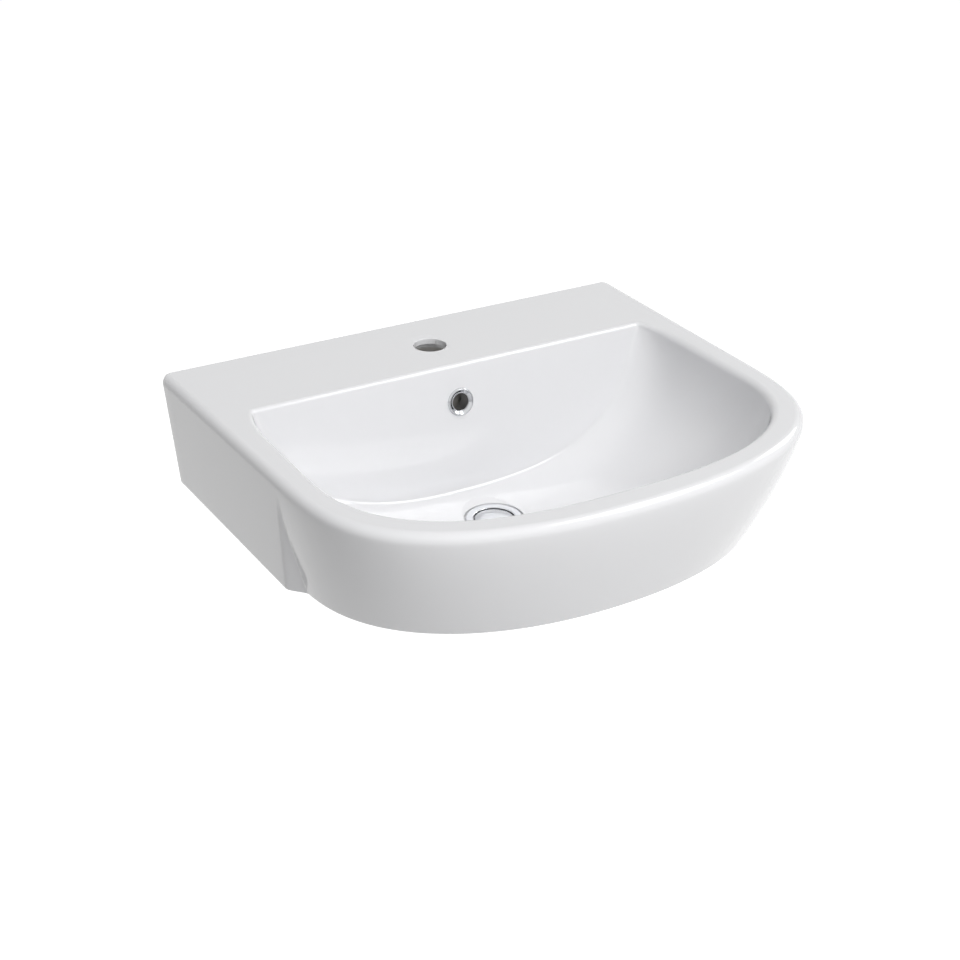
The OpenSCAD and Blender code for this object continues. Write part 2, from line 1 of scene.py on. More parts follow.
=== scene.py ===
"""Semi-recessed washbasin: the looks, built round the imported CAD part.

Each new piece is a surface worked out with numpy, on a grid of two parameters or from
a profile carried round an axis, and the holes are cut with booleans. The two seals, the
stud with its nut and the click mechanism, all but its spring, keep their CAD meshes.
Lengths in the formulas are millimetres in the part's own frame: +X to the right, -Y
towards the user, +Z up, with the origin on the back face between the wall fixings.
"""

import math

import bpy
import numpy as np
from mathutils import Matrix, Vector


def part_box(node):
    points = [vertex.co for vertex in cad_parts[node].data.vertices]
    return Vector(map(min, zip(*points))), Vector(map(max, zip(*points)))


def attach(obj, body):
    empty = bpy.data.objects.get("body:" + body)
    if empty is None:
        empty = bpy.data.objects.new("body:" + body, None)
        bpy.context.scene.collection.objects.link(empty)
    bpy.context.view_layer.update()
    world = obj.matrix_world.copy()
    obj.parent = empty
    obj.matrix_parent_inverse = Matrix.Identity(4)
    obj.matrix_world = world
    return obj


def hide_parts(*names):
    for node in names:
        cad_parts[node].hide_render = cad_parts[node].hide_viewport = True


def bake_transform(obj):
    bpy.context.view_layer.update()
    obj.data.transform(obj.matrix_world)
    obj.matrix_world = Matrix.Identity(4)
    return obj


bl_info = {
    "name": "Semi-recessed washbasin",
    "version": (1, 0, 0),
    "blender": (4, 5, 0),
    "location": "3D View > Sidebar > Washbasin",
    "description": "Glazed basin, overflow ring and click waste round a packed CAD part",
    "category": "Object",
}

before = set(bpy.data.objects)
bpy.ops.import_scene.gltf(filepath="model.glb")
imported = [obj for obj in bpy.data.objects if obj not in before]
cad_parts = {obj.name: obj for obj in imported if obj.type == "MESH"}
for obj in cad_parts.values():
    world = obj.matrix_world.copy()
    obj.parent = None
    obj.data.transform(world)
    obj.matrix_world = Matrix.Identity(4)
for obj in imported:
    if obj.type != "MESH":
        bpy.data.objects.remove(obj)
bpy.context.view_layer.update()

MM = 0.001
FIXED_BODY = "basin_body"
PLUG_BODY = "plug"

# in millimetres: height of the rim above the origin, gap between parts that are pushed
# or screwed together, and height of the slip washer's underside from the waste's seat
RIM_Z = 75.0
FIT_GAP = 0.02
WASHER_FOOT = -44.6


# settings


def length(name, description, default_mm):
    """A length property in metres, from a size in millimetres."""
    return bpy.props.FloatProperty(
        name=name,
        description=description,
        default=default_mm * MM,
        min=0.0,
        subtype="DISTANCE",
        unit="LENGTH",
        precision=4,
    )


def colour(name, description, default):
    """A linear colour property without alpha."""
    return bpy.props.FloatVectorProperty(
        name=name,
        description=description,
        default=default,
        min=0.0,
        max=1.0,
        size=3,
        subtype="COLOR",
    )


class BasinShape(bpy.types.PropertyGroup):
    """Sizes of the ceramic."""

    width: length("Width", "Width across the back", 550)
    depth: length("Depth", "Depth from the wall to the front of the rim", 470)
    apron_height: length("Apron height", "From the rim to the lower edge", 125)
    rim_side: length("Side rim", "Width of the rim along each side", 37)
    rim_front: length("Front rim", "Width of the rim at the front", 33)
    deck: length("Deck", "Depth of the flat deck behind the bowl", 127)
    rim_roll: length("Rim roll", "Radius of the rolled outer edge", 9)
    bowl_roll: length("Bowl roll", "Radius where the rim turns into the bowl", 7)
    bowl_depth: length("Bowl depth", "From the rim to the bowl floor", 144)
    crease_fillet: length("Crease fillet", "Softness of the crease below the back wall", 6)
    lip: length("Hole lip", "Radius of the glaze round each hole", 0.6)
    tap_hole: length("Tap hole", "Diameter of the tap hole", 35)
    overflow_hole: length("Overflow hole", "Diameter of the overflow hole", 22)
    waste_hole: length("Waste hole", "Diameter of the waste hole", 47)


class WasteShape(bpy.types.PropertyGroup):
    """Sizes of the waste and its plug."""

    flange: length("Flange", "Diameter of the waste flange", 60)
    tail: length("Tail", "Diameter of the threaded tail", 41.91)
    thread_pitch: length("Thread pitch", "Pitch of the tail's thread", 2.309)
    thread_depth: length("Thread depth", "Depth of the tail's thread", 1.1)
    cap: length("Cap", "Diameter of the plug cap", 41)
    cap_dome: length("Cap dome", "Height of the plug cap's dome", 2.4)
    trim_ring: length("Trim ring", "Outer diameter of the overflow ring", 30)


class Finishes(bpy.types.PropertyGroup):
    """Colours of the materials."""

    glaze: colour("Glaze", "White glaze", (0.86, 0.862, 0.877))
    clay: colour("Clay", "Fired clay where the glaze is thin or wiped off", (0.74, 0.71, 0.66))
    # far darker than the clay's own tone: painted shade inside the duct and the overflow's
    # bore, which the chrome ring mirrors
    duct: colour("Duct", "Unglazed clay inside the overflow duct", (0.42, 0.40, 0.38))
    chrome: colour("Chrome", "Chromed brass", (0.66, 0.67, 0.69))
    brass: colour("Brass", "Turned brass", (0.70, 0.52, 0.24))
    rubber: colour("Rubber", "Black rubber", (0.02, 0.02, 0.022))
    nylon: colour("Nylon", "Moulded nylon", (0.78, 0.78, 0.74))
    steel: colour("Steel", "Stainless steel", (0.58, 0.58, 0.59))
    floor: colour("Floor", "Studio floor", (0.36, 0.36, 0.36))


class Stage(bpy.types.PropertyGroup):
    """Studio round the basin."""

    floor_drop: length("Floor drop", "Height of the rim above the floor", 850)
    level: bpy.props.FloatProperty(
        name="Level", description="Strength of all the lamps together", default=1.0, min=0.0
    )


# mesh building


def to_mm(metres):
    """Metres as millimetres."""
    return metres / MM


def around(count):
    """Angles that go once round in equal steps."""
    return 2 * math.pi * np.arange(count) / count


def carried_round(r, z, t):
    """Radii and heights carried round the Z axis by the angles t: (r cos t, r sin t, z)."""
    return np.stack([r * np.cos(t), r * np.sin(t), z + 0 * t], axis=-1)


def stations(marks, steps):
    """One row of values that run from mark to mark in the given numbers of even steps."""
    runs = [np.linspace(a, b, n + 1)[:-1] for a, b, n in zip(marks, marks[1:], steps)]
    return np.append(np.concatenate(runs), marks[-1])[None, :]


def signed_volume(points, triangles):
    """Volume inside a closed mesh, negative where its faces point inwards: the sum
    over triangles of a . (b x c) / 6."""
    a, b, c = (points[triangles[:, k]] for k in range(3))
    return float(np.einsum("ij,ij->i", a, np.cross(b, c)).sum() / 6)


def mesh_from_grid(name, grid, loop_rows=False, poles=(None, None)):
    """A closed mesh from a grid of points in millimetres, rows by columns. Columns
    close round on themselves; rows do too with loop_rows, or else each end row is
    closed by a fan to its pole."""
    rows, cols = grid.shape[:2]
    points = grid.reshape(-1, 3)
    r = np.arange(rows if loop_rows else rows - 1)[:, None]
    c = np.arange(cols)[None, :]
    below, beside = (r + 1) % rows, (c + 1) % cols
    quads = np.stack(
        [r * cols + c, r * cols + beside, below * cols + beside, below * cols + c], axis=-1
    ).reshape(-1, 4)
    fans = []
    if not loop_rows:
        first, last = poles
        ring = np.arange(cols)
        onward = np.roll(ring, -1)
        points = np.vstack([points, first, last])
        hub = rows * cols
        end = (rows - 1) * cols
        fans = [
            np.stack([np.full(cols, hub), onward, ring], axis=-1),
            np.stack([np.full(cols, hub + 1), end + ring, end + onward], axis=-1),
        ]
    tris = np.vstack(fans) if fans else np.zeros((0, 3), int)
    every = np.vstack([quads[:, :3], quads[:, [0, 2, 3]], tris])
    if signed_volume(points, every) < 0:
        quads, tris = quads[:, ::-1], tris[:, ::-1]
    return mesh_from_faces(name, points, quads, tris)


def mesh_from_faces(name, points, quads, tris):
    """A mesh from points in millimetres, an array of quads and one of triangles."""
    mesh = bpy.data.meshes.new(name)
    mesh.vertices.add(len(points))
    mesh.vertices.foreach_set("co", (np.asarray(points) * MM).astype(np.float32).ravel())
    corners = np.concatenate([quads.ravel(), tris.ravel()]).astype(np.int32)
    sizes = np.concatenate([np.full(len(quads), 4), np.full(len(tris), 3)]).astype(np.int32)
    mesh.loops.add(len(corners))
    mesh.loops.foreach_set("vertex_index", corners)
    mesh.polygons.add(len(sizes))
    starts = np.concatenate([[0], np.cumsum(sizes)[:-1]]).astype(np.int32)
    mesh.polygons.foreach_set("loop_start", starts)
    mesh.update(calc_edges=True)
    mesh.validate()
    return mesh


def link(name, mesh):
    """Puts a mesh into the scene as an object at the origin."""
    piece = bpy.data.objects.new(name, mesh)
    bpy.context.scene.collection.objects.link(piece)
    return piece


def smooth_shade(piece, angle_deg):
    """Smooth shading, with edges sharper than the angle kept sharp."""
    piece.data.shade_smooth()
    piece.data.set_sharp_from_angle(angle=math.radians(angle_deg))


def combine(body, tools, operation):
    """Cuts the tools out of a body, or adds them to it, and removes them."""
    for tool in tools:
        step = body.modifiers.new(tool.name, "BOOLEAN")
        step.operation = operation
        step.solver = "EXACT"
        step.object = tool
    bpy.context.view_layer.update()
    graph = bpy.context.evaluated_depsgraph_get()
    mesh = bpy.data.meshes.new_from_object(body.evaluated_get(graph), depsgraph=graph)
    old = body.data
    body.modifiers.clear()
    body.data = mesh
    bpy.data.meshes.remove(old)
    for tool in tools:
        bpy.data.objects.remove(tool)


def place(points, origin, tilt_deg=0.0):
    """Turns points about X by an angle and moves them to an origin."""
    a = math.radians(tilt_deg)
    turn = np.array([[1, 0, 0], [0, math.cos(a), -math.sin(a)], [0, math.sin(a), math.cos(a)]])
    return points @ turn.T + np.asarray(origin)


def rounded(corners, radii, steps):
    """A closed profile whose corners are arcs: each corner of radius r is replaced by
    the arc that touches both its sides at r / tan(angle / 2) from it. A corner without
    a radius, or one that is nearly straight, stays a point."""
    nearly_straight = math.radians(89)
    corners = np.asarray(corners, float)
    out = []
    for k, radius in enumerate(radii):
        here = corners[k]
        back = corners[k - 1] - here
        on = corners[(k + 1) % len(corners)] - here
        back, on = back / np.linalg.norm(back), on / np.linalg.norm(on)
        half = math.acos(max(-1.0, min(1.0, float(back @ on)))) / 2
        if radius <= 0 or half > nearly_straight:
            out.append(here[None, :])
            continue
        reach = radius / math.tan(half)
        middle = here + (back + on) / np.linalg.norm(back + on) * radius / math.sin(half)
        start, end = here + back * reach - middle, here + on * reach - middle
        a0, a1 = math.atan2(start[1], start[0]), math.atan2(end[1], end[0])
        swing = (a1 - a0 + math.pi) % (2 * math.pi) - math.pi
        a = a0 + swing * np.linspace(0, 1, steps + 1)
        out.append(middle + radius * np.stack([np.cos(a), np.sin(a)], axis=-1))
    return np.vstack(out)


def subdivide(profile, longest):
    """A closed profile with its long sides split into steps no longer than given."""
    out = []
    for a, b in zip(profile, np.roll(profile, -1, axis=0)):
        n = max(1, int(math.ceil(np.linalg.norm(b - a) / longest)))
        out.append(a + (b - a) * (np.arange(n) / n)[:, None])
    return np.vstack(out)


def turned(name, profile, columns, origin, tilt_deg=0.0):
    """A closed profile of (radius, height) carried round the Z axis, then tilted and
    moved."""
    grid = carried_round(profile[:, :1], profile[:, 1:], around(columns))
    return link(name, mesh_from_grid(name, place(grid, origin, tilt_deg), loop_rows=True))


def turned_solid(name, profile, columns, origin, tilt_deg=0.0):
    """An open profile whose first and last points lie on the axis, carried round it."""
    inner = profile[1:-1]
    grid = carried_round(inner[:, :1], inner[:, 1:], around(columns))
    ends = np.array([[0, 0, profile[0][1]], [0, 0, profile[-1][1]]], float)
    ends = place(ends, origin, tilt_deg)
    mesh = mesh_from_grid(name, place(grid, origin, tilt_deg), poles=(ends[:1], ends[1:]))
    return link(name, mesh)


def block(name, low, high, origin, tilt_deg=0.0, spin_deg=0.0):
    """A box between two corners, spun about Z, tilted about X and moved."""
    pick = np.array([[i, j, k] for i in (0, 1) for j in (0, 1) for k in (0, 1)])
    points = np.where(pick == 0, np.asarray(low, float), np.asarray(high, float))
    s = math.radians(spin_deg)
    spin = np.array([[math.cos(s), -math.sin(s), 0], [math.sin(s), math.cos(s), 0], [0, 0, 1]])
    points = place(points @ spin.T, origin, tilt_deg)
    quads = np.array(
        [[0, 1, 3, 2], [4, 6, 7, 5], [0, 4, 5, 1], [2, 3, 7, 6], [0, 2, 6, 4], [1, 5, 7, 3]]
    )
    return link(name, mesh_from_faces(name, points, quads, np.zeros((0, 3), int)))


# ceramic shape


# the ceramic's material slots after the glaze: bare clay, then the duct's clay darkened with
# painted shade
CLAY_SLOT, DUCT_SHADE_SLOT = 1, 2


def mix(a, b, t):
    """Straight blend from a to b."""
    return a + (b - a) * t


def ease(t):
    """Smooth step, 3 t^2 - 2 t^3 with t held between 0 and 1."""
    t = np.clip(t, 0, 1)
    return t * t * (3 - 2 * t)


def soft_max(a, b, k):
    """The greater of a and b, rounded off where they lie within k of each other."""
    near = np.clip(k - np.abs(a - b), 0, None) / k
    return np.maximum(a, b) + near * near * k / 4


def root(a, power):
    """a to a power, with a held at zero or above."""
    return np.power(np.clip(a, 0, None), power)


class Ceramic:
    """The basin's surfaces, by the formulas of the CAD part but for four things: the
    recess step is softer, the crease below the back wall is rounded off where the CAD's
    is sharp, the duct's run to the boss lies in a swelling of the underside and not in a
    block, and the boss has a rounder root and foot. A point on a half ring is given by u,
    which runs from the middle of the back (0), past the corner and the side, to the
    middle of the front (LAST)."""

    BACK, CORNER, SIDE, STEP, LAST = 8, 11, 16, 20, 39

    def __init__(self, shape):
        # outline, rim and deck
        self.half_w = to_mm(shape.width) / 2
        self.depth = to_mm(shape.depth)
        self.apron_h = to_mm(shape.apron_height)
        self.rim_roll = to_mm(shape.rim_roll)
        self.bowl_roll = to_mm(shape.bowl_roll)
        self.bowl_h = to_mm(shape.bowl_depth)
        self.deck = to_mm(shape.deck)
        self.nose_len = 214.0
        self.nose_y = self.depth - self.nose_len
        self.side_close = 13.0
        self.back_roll, self.deck_roll = 3.0, 4.0
        self.corner_r, self.foot_r = 9.0, 3.0

        # side walls and apron, with how far each leans in at the lower edge, and the
        # squareness of the rounded front across and along the basin
        self.side_draft, self.side_in, self.front_in = 10.0, 24.0, 34.0
        self.bulge = 1.3
        self.square_x, self.square_top, self.square_foot = 2.16, 3.5, 2.5

        # powers that crowd the points of the outline at the middle of the back and
        # beside the step, and those of the bowl at the end of its crease and where its
        # rounded front begins
        self.back_crowd, self.front_crowd = 1.5, 1.5
        self.crease_crowd, self.nose_crowd = 1.4, 1.2

        # recess step: its place, its length and softness at the lower edge, the share
        # of the length left under the rim, and how far it follows an inset
        self.step_top, self.step_foot, self.step_len = 267.0, 261.0, 12.0
        self.step_soft, self.step_fade, self.step_follow = 5.0, 0.5, 0.8

        # thickness of the walls, and depth of the hollow's roof beside the bowl
        self.wall, self.back_wall, self.deck_t = 12.0, 14.0, 14.0
        self.hollow_top = 32.0

        # bowl: its place, and its squareness at the rim and the floor behind the waste
        # and in front of it
        self.waste_y = 205.0
        self.lean_deg = 10
        self.lean = math.radians(self.lean_deg)
        self.fillet = to_mm(shape.crease_fillet)
        self.under_fillet = 8.0
        self.bowl_half = self.half_w - to_mm(shape.rim_side)
        self.bowl_front = self.depth - to_mm(shape.rim_front)
        self.bowl_nose = 158.0
        self.shoulder = self.bowl_front - self.bowl_nose
        self.rear_square, self.nose_square = (3.3, 2.3), (2.6, 2.1)

        # powers of the bowl's profile to the sides, the rear and the front, shares of
        # the rear reach, and the least share of the width that the crease takes
        self.side_power, self.rear_power, self.front_power = 0.405, 0.6, 0.45
        self.rear_reach, self.rear_swell = 4 / 3, 0.5
        self.crease_least = 0.45

        # waste seat, boss and overflow duct
        self.seat_sink = 3
        self.seat_h = self.bowl_h + self.seat_sink
        self.seat_z = RIM_Z - self.seat_h
        self.boss_h, self.boss_r = 36, 35.5
        self.boss_foot = self.seat_h + self.boss_h
        self.overflow_h = 40
        self.duct_bulge, self.duct_half = 20.0, 28.0
        self.keel_drop = 15.0

    def waste_place(self):
        """Middle of the seat that the waste flange sits on."""
        return (0, -self.waste_y, self.seat_z)

    def overflow_place(self):
        """Middle of the overflow hole on the leaning back wall."""
        y = self.deck + math.tan(self.lean) * self.overflow_h
        return (0, -y, RIM_Z - self.overflow_h)

    def closing(self, y):
        """Share of the width left at a distance y from the wall."""
        return 1 - self.side_close / self.half_w * y / self.depth

    def fall(self, h):
        """Share of the way from the roll to the lower edge at depth h."""
        return np.clip((h - self.rim_roll) / (self.apron_h - self.rim_roll), 0, 1)

    def side_x(self, y, h, e):
        """Half-width of the drafted side wall."""
        return (self.half_w - self.side_draft * self.fall(h) - e) * self.closing(y)

    def apron_depth(self, h, e):
        """Distance from the wall to the front of the apron."""
        return self.depth - self.front_in * self.fall(h) ** self.bulge - e

    def apron_power(self, h):
        """Squareness of the rounded front along the basin."""
        return mix(self.square_top, self.square_foot, self.fall(h) ** self.bulge)

    def apron_angle(self, y, h, e):
        """Angle on the apron's superellipse at a distance y from the wall."""
        share = np.clip((y - self.nose_y) / (self.apron_depth(h, e) - self.nose_y), 0, 1)
        return np.arcsin(share ** (self.apron_power(h) / 2))

    def apron_x(self, t, y, h, e):
        """Half-width of the apron: half * closing(y) * cos(t) to 2 / square_x."""
        half = self.half_w - self.side_in * self.fall(h) ** self.bulge - e
        return half * self.closing(y) * root(np.cos(t), 2 / self.square_x)

    def apron_y(self, t, h, e):
        """Distance of the apron from the wall: nose_y + reach * sin(t) to 2 / power."""
        reach = self.apron_depth(h, e) - self.nose_y
        return self.nose_y + reach * root(np.sin(t), 2 / self.apron_power(h))

    def outer(self, u, h, e, eb):
        """Outline at depth h, inset by e, or by eb at the back, as (x, y): a straight
        back, a round corner, a drafted side, the recess step and a superellipse."""
        rc, fall = self.corner_r, self.fall(h)
        y_mid = mix(self.step_top, self.step_foot, fall) - self.step_follow * e
        y_end = y_mid + self.step_len * mix(self.step_fade, 1, fall) + self.step_soft * fall
        y_step = y_mid - self.step_soft * fall
        x_back = self.side_x(eb, h, e) - rc
        x0 = x_back * np.clip(u / self.BACK, 0, 1) ** self.back_crowd
        a = np.pi / 2 * np.clip((u - self.BACK) / (self.CORNER - self.BACK), 0, 1)
        x1, y1 = x_back + rc * np.sin(a), eb + rc * (1 - np.cos(a))
        y2 = mix(eb + rc, y_step, np.clip((u - self.CORNER) / (self.SIDE - self.CORNER), 0, 1))
        x2 = self.side_x(y2, h, e)
        w = np.clip((u - self.SIDE) / (self.STEP - self.SIDE), 0, 1)
        y3 = mix(y_step, y_end, w)
        x3 = mix(
            self.side_x(y3, h, e), self.apron_x(self.apron_angle(y3, h, e), y3, h, e), ease(w)
        )
        w = np.clip((u - self.STEP) / (self.LAST - self.STEP), 0, 1)
        t = mix(self.apron_angle(y_end, h, e), np.pi / 2, w**self.front_crowd)
        y4 = self.apron_y(t, h, e)
        x4 = self.apron_x(t, y4, h, e)
        parts = [u <= self.BACK, u <= self.CORNER, u <= self.SIDE, u <= self.STEP]
        x = np.select(parts, [x0, x1, x2, x3], x4)
        y = np.select(parts, [eb + 0 * x0, y1, y2, y3], y4)
        return np.where(u >= self.LAST, 0, x), y

    def bowl_a(self, f, e):
        """Half-width of the bowl: half * (1 - f^2) to side_power, grown by e."""
        return self.bowl_half * root(1 - f * f, self.side_power) + e

    def bowl_b(self, f, e):
        """Reach of the rounded bowl behind the waste, by (1 - f^6) to rear_power and a
        swelling by (1 - f)^6, grown by e."""
        reach = self.waste_y - self.deck
        even = self.rear_reach * root(1 - f**6, self.rear_power)
        return reach * (even + self.rear_swell * root(1 - f, 6)) + e

    def bowl_c(self, f, e):
        """Reach in front of the waste: reach * (1 - f^2) to front_power, grown by e."""
        return (self.bowl_front - self.waste_y) * root(1 - f * f, self.front_power) + e

    def rear_shape(self, f):
        """Squareness of the bowl's outline behind the waste."""
        return mix(*self.rear_square, f * f)

    def duct_swell(self, x):
        """One over the duct, falling to nothing beside it."""
        return np.exp(-((np.abs(x) / self.duct_half) ** 4))

    def wall_y(self, h, x, e, bump):
        """The leaning back wall: deck + tan(lean) h - e / cos(lean), less the swelling."""
        flat = self.deck + math.tan(self.lean) * h - e / math.cos(self.lean)
        return flat - bump * self.duct_swell(x)

    def arc_y(self, x, f, e, bump):
        """Rear half of the rounded outline: waste_y - b (1 - (|x| / a)^p)^(1 / p), less
        the swelling."""
        p = self.rear_shape(f)
        return (
            self.waste_y
            - bump * self.duct_swell(x)
            - self.bowl_b(f, e) * root(1 - root(np.abs(x) / self.bowl_a(f, e), p), 1 / p)
        )

    def bowl(self, u, f, h, e, bump, fillet):
        """Bowl outline at share f of its depth, grown by e, as (x, y): the rounded
        outline about the waste, cut off by the back wall with a soft crease."""
        a, p = self.bowl_a(f, e), self.rear_shape(f)
        k = (self.waste_y - self.wall_y(h, self.half_w, e, 0)) / self.bowl_b(f, e)
        xl = np.maximum(self.crease_least * a, a * root(1 - root(k, p), 1 / p))
        x0 = xl * (1 - (1 - np.clip(u / self.BACK, 0, 1)) ** self.crease_crowd)
        t_crease = np.arcsin(np.clip(xl / a, 0, 1) ** (p / 2))
        w = np.clip((u - self.BACK) / (self.SIDE - self.BACK), 0, 1)
        t = mix(t_crease, np.pi / 2, w)
        x1 = a * root(np.sin(t), 2 / p)
        x = np.where(u <= self.BACK, x0, x1)
        y_rear = soft_max(self.wall_y(h, x, e, bump), self.arc_y(x, f, e, bump), fillet)
        ys = self.waste_y + (self.shoulder - self.waste_y) * root(1 - f, 0.5)
        w = np.clip((u - self.SIDE) / (self.STEP - self.SIDE), 0, 1)
        y_side = mix(self.waste_y, ys, w)
        w = np.clip((u - self.STEP) / (self.LAST - self.STEP), 0, 1)
        t = np.pi / 2 * w**self.nose_crowd
        q = mix(*self.nose_square, f)
        x_front = a * root(np.cos(t), 2 / q)
        y_front = ys + (self.waste_y + self.bowl_c(f, e) - ys) * root(np.sin(t), 2 / q)
        x = np.select([u <= self.SIDE, u <= self.STEP], [x, a + 0 * x], x_front)
        y = np.select([u <= self.SIDE, u <= self.STEP], [y_rear, y_side], y_front)
        return np.where(u >= self.LAST, 0, x), y

    def ring(self, xy, h):
        """Rows of a half ring mirrored into whole rings of points."""
        x, y = xy
        x, y, h = np.broadcast_arrays(x, y, h)
        half = np.stack([x, -y, RIM_Z - h], axis=-1)
        other = half[:, -2:0:-1] * np.array([-1, 1, 1])
        return np.concatenate([half, other], axis=1)

    def rows(self):
        """All rings of the skin in order, from the bowl's floor to the boss's foot, and
        the number of the first band of faces that has no glaze."""
        inner = stations((0, self.BACK, self.SIDE, self.STEP, self.LAST), (44, 32, 8, 96))
        outer = stations(
            (0, self.BACK, self.CORNER, self.SIDE, self.STEP, self.LAST), (32, 12, 20, 22, 94)
        )
        turn = ease((inner - self.BACK) / (self.SIDE - self.BACK))
        in_roll = mix(self.deck_roll, self.bowl_roll, turn)
        out_turn = ease((outer - self.BACK) / (self.CORNER - self.BACK))
        out_roll = mix(self.back_roll, self.rim_roll, out_turn)
        roof = mix(self.deck_t, self.hollow_top, turn)

        # rings of each stretch, and where the bowl's rings and the underside's end
        bowl_n, edge_n, roll_n, apron_n, foot_n, skirt_n, under_n = 75, 10, 12, 40, 7, 14, 30
        floor_deg, under_end = 88, 0.995

        # bowl, from beside the waste up to its edge
        f = np.sin(np.radians(floor_deg) * np.linspace(1, 0, bowl_n + 1))[:, None]
        h = mix(in_roll, self.bowl_h, f)
        bowl = self.ring(self.bowl(inner, f, h, 0, 0, self.fillet), h)

        # edge of the bowl
        a = np.radians(90 * np.linspace(0, 1, edge_n + 1)[1:])[:, None]
        e, h = in_roll * (1 - np.cos(a)), in_roll * (1 - np.sin(a))
        edge = self.ring(self.bowl(inner, np.zeros_like(e), h, e, 0, self.fillet), h)

        # outer roll of the rim
        a = np.radians(90 * np.linspace(0, 1, roll_n + 1)[:-1])[:, None]
        e, h = out_roll * (1 - np.sin(a)), out_roll * (1 - np.cos(a))
        roll = self.ring(self.outer(outer, h, e, e), h)

        # deck and rim, flat between the two, with rings close to both
        share = np.array([0.006, 0.03, 0.12, 0.3, 0.5, 0.7, 0.88, 0.97, 0.994])[:, None, None]
        deck = mix(edge[-1][None], roll[0][None], share)

        # side walls and apron
        s = np.linspace(0, 1, apron_n + 1)[:, None]
        h = mix(out_roll, self.apron_h - self.foot_r, s)
        apron = self.ring(self.outer(outer, h, 0 * h, 0 * h), h)

        # lower edge
        a = np.radians(90 * np.linspace(0, 1, foot_n + 1)[1:])[:, None]
        e, h = self.foot_r * (1 - np.cos(a)), self.apron_h - self.foot_r * (1 - np.sin(a))
        foot = self.ring(self.outer(outer, h + 0 * outer, e + 0 * outer, e + 0 * outer), h)

        # inside of the side walls and apron
        s = np.linspace(0, 1, skirt_n + 1)[:, None]
        h = mix(self.apron_h, roof, s)
        thick = self.wall + 0 * h
        skirt = self.ring(self.outer(outer, h, thick, self.back_wall + 0 * h), h)

        # underside of the bowl, lower where it carries the duct across to the boss
        v = np.sin(np.pi / 2 * np.linspace(0, 1, under_n + 1))[:, None]
        floor_h = self.bowl_h - self.bowl_roll
        f = mix((roof - self.bowl_roll) / floor_h, under_end, v)
        h = self.bowl_roll + floor_h * f + self.wall * f**3
        x, y = self.bowl(inner, f, h, self.wall, self.duct_bulge, self.under_fillet)
        keel_start, keel_rise, keel_end, keel_fade = 112, 18, 185, 20
        keel = ease((y - keel_start) / keel_rise) * (1 - ease((y - keel_end) / keel_fade))
        keel = keel * self.duct_swell(x)
        under = self.ring((x, y), h + self.keel_drop * keel)

        # boss as radius and depth, wider at its top where it takes in the duct
        root_h, neck_h, widening = 161.0, 180, 0.55
        steps = np.array([
            (40.5, root_h), (37.5, 164), (36.2, 170), (self.boss_r, 176),
            (self.boss_r, neck_h), (34.9, 182.2), (33.5, self.boss_foot),
        ])
        r, h = steps[:, :1], steps[:, 1:]
        count = inner.shape[1]
        t = np.pi * np.arange(count)[None, :] / (count - 1)
        keel = ease(np.cos(t)) * self.duct_swell(r * np.sin(t))
        low = np.maximum(0, 1 - (h - root_h) / (neck_h - root_h))
        grow = 1 + widening * keel * low
        boss = self.ring((r * np.sin(t), self.waste_y - r * grow * np.cos(t)), h + 0 * t)

        # the glaze is wiped off from the last band of the lower edge on
        glazed = sum(len(part) for part in (bowl, edge, deck, roll, apron, foot)) - 2
        grid = np.concatenate([bowl, edge, deck, roll, apron, foot, skirt, under, boss])
        return grid, glazed


# how far the cutters of the tap hole and the overflow hole stand out of the ceramic, in
# millimetres
PAST = 4


def lipped_bore(name, radius, lip, top, bottom, origin, tilt_deg=0.0):
    """A cutter for a hole whose mouth is rounded: a cylinder that flares by an arc of
    radius lip up to the surface, at height 0, and carries on above it as a cone."""
    arc_deg, cone_deg = 80, 60
    a = np.radians(np.linspace(0, arc_deg, 9))
    r = radius + lip * (1 - np.cos(a))
    z = lip * (np.sin(a) - math.sin(math.radians(arc_deg)))
    profile = np.vstack(
        [
            [[0, bottom], [radius, bottom]],
            np.stack([r, z], axis=-1),
            [[r[-1] + top * math.tan(math.radians(cone_deg)), top], [0, top]],
        ]
    )
    return turned_solid(name, profile, 96, origin, tilt_deg)


def plain_bore(name, radius, bottom, top, columns, origin, tilt_deg=0.0):
    """A cutter for a plain round hole between two heights."""
    profile = np.array([[0, bottom], [radius, bottom], [radius, top], [0, top]], float)
    return turned_solid(name, profile, columns, origin, tilt_deg)


def tap_cutters(shape, lip):
    """The tap hole, and the round recess under the deck, with a softened corner, that
    leaves the hole tap_t long."""
    tap_y, tap_t, recess_r, far = 69, 6, 27, -40
    at = (0, -tap_y, RIM_Z)
    hole = lipped_bore("tap_cut", to_mm(shape.tap_hole) / 2, lip, PAST, far, at)
    below = np.array(
        [
            [0, far], [recess_r, far], [recess_r, -tap_t - 1.2], [recess_r - 0.4, -tap_t - 0.3],
            [recess_r - 1.4, -tap_t], [0, -tap_t],
        ],
        float,
    )
    return [hole, turned_solid("recess_cut", below, 96, at)]


def fixing_cutters():
    """The two holes in the back wall for the wall studs."""
    spread, radius, inner, outer = 140, 9.0, -20, 5
    return [
        plain_bore(f"fixing_cut_{side}", radius, inner, outer, 64, (side * spread, 0, 0), -90)
        for side in (-1, 1)
    ]


def waste_cutters(c, shape):
    """The sunk seat of the waste flange, and the hole through the boss."""
    seat_r, seat_lip, seat_deep, seat_top = 31.5, 1.2, 4.3, 6
    hole_r, hole_foot, hole_top = to_mm(shape.waste_hole) / 2, -60, 3
    x, y, z = c.waste_place()
    at = (x, y, z + seat_deep)
    seat = lipped_bore("seat_cut", seat_r, seat_lip, seat_top, -seat_deep, at)
    return [seat, plain_bore("hole_cut", hole_r, hole_foot, hole_top, 96, (x, y, z))]


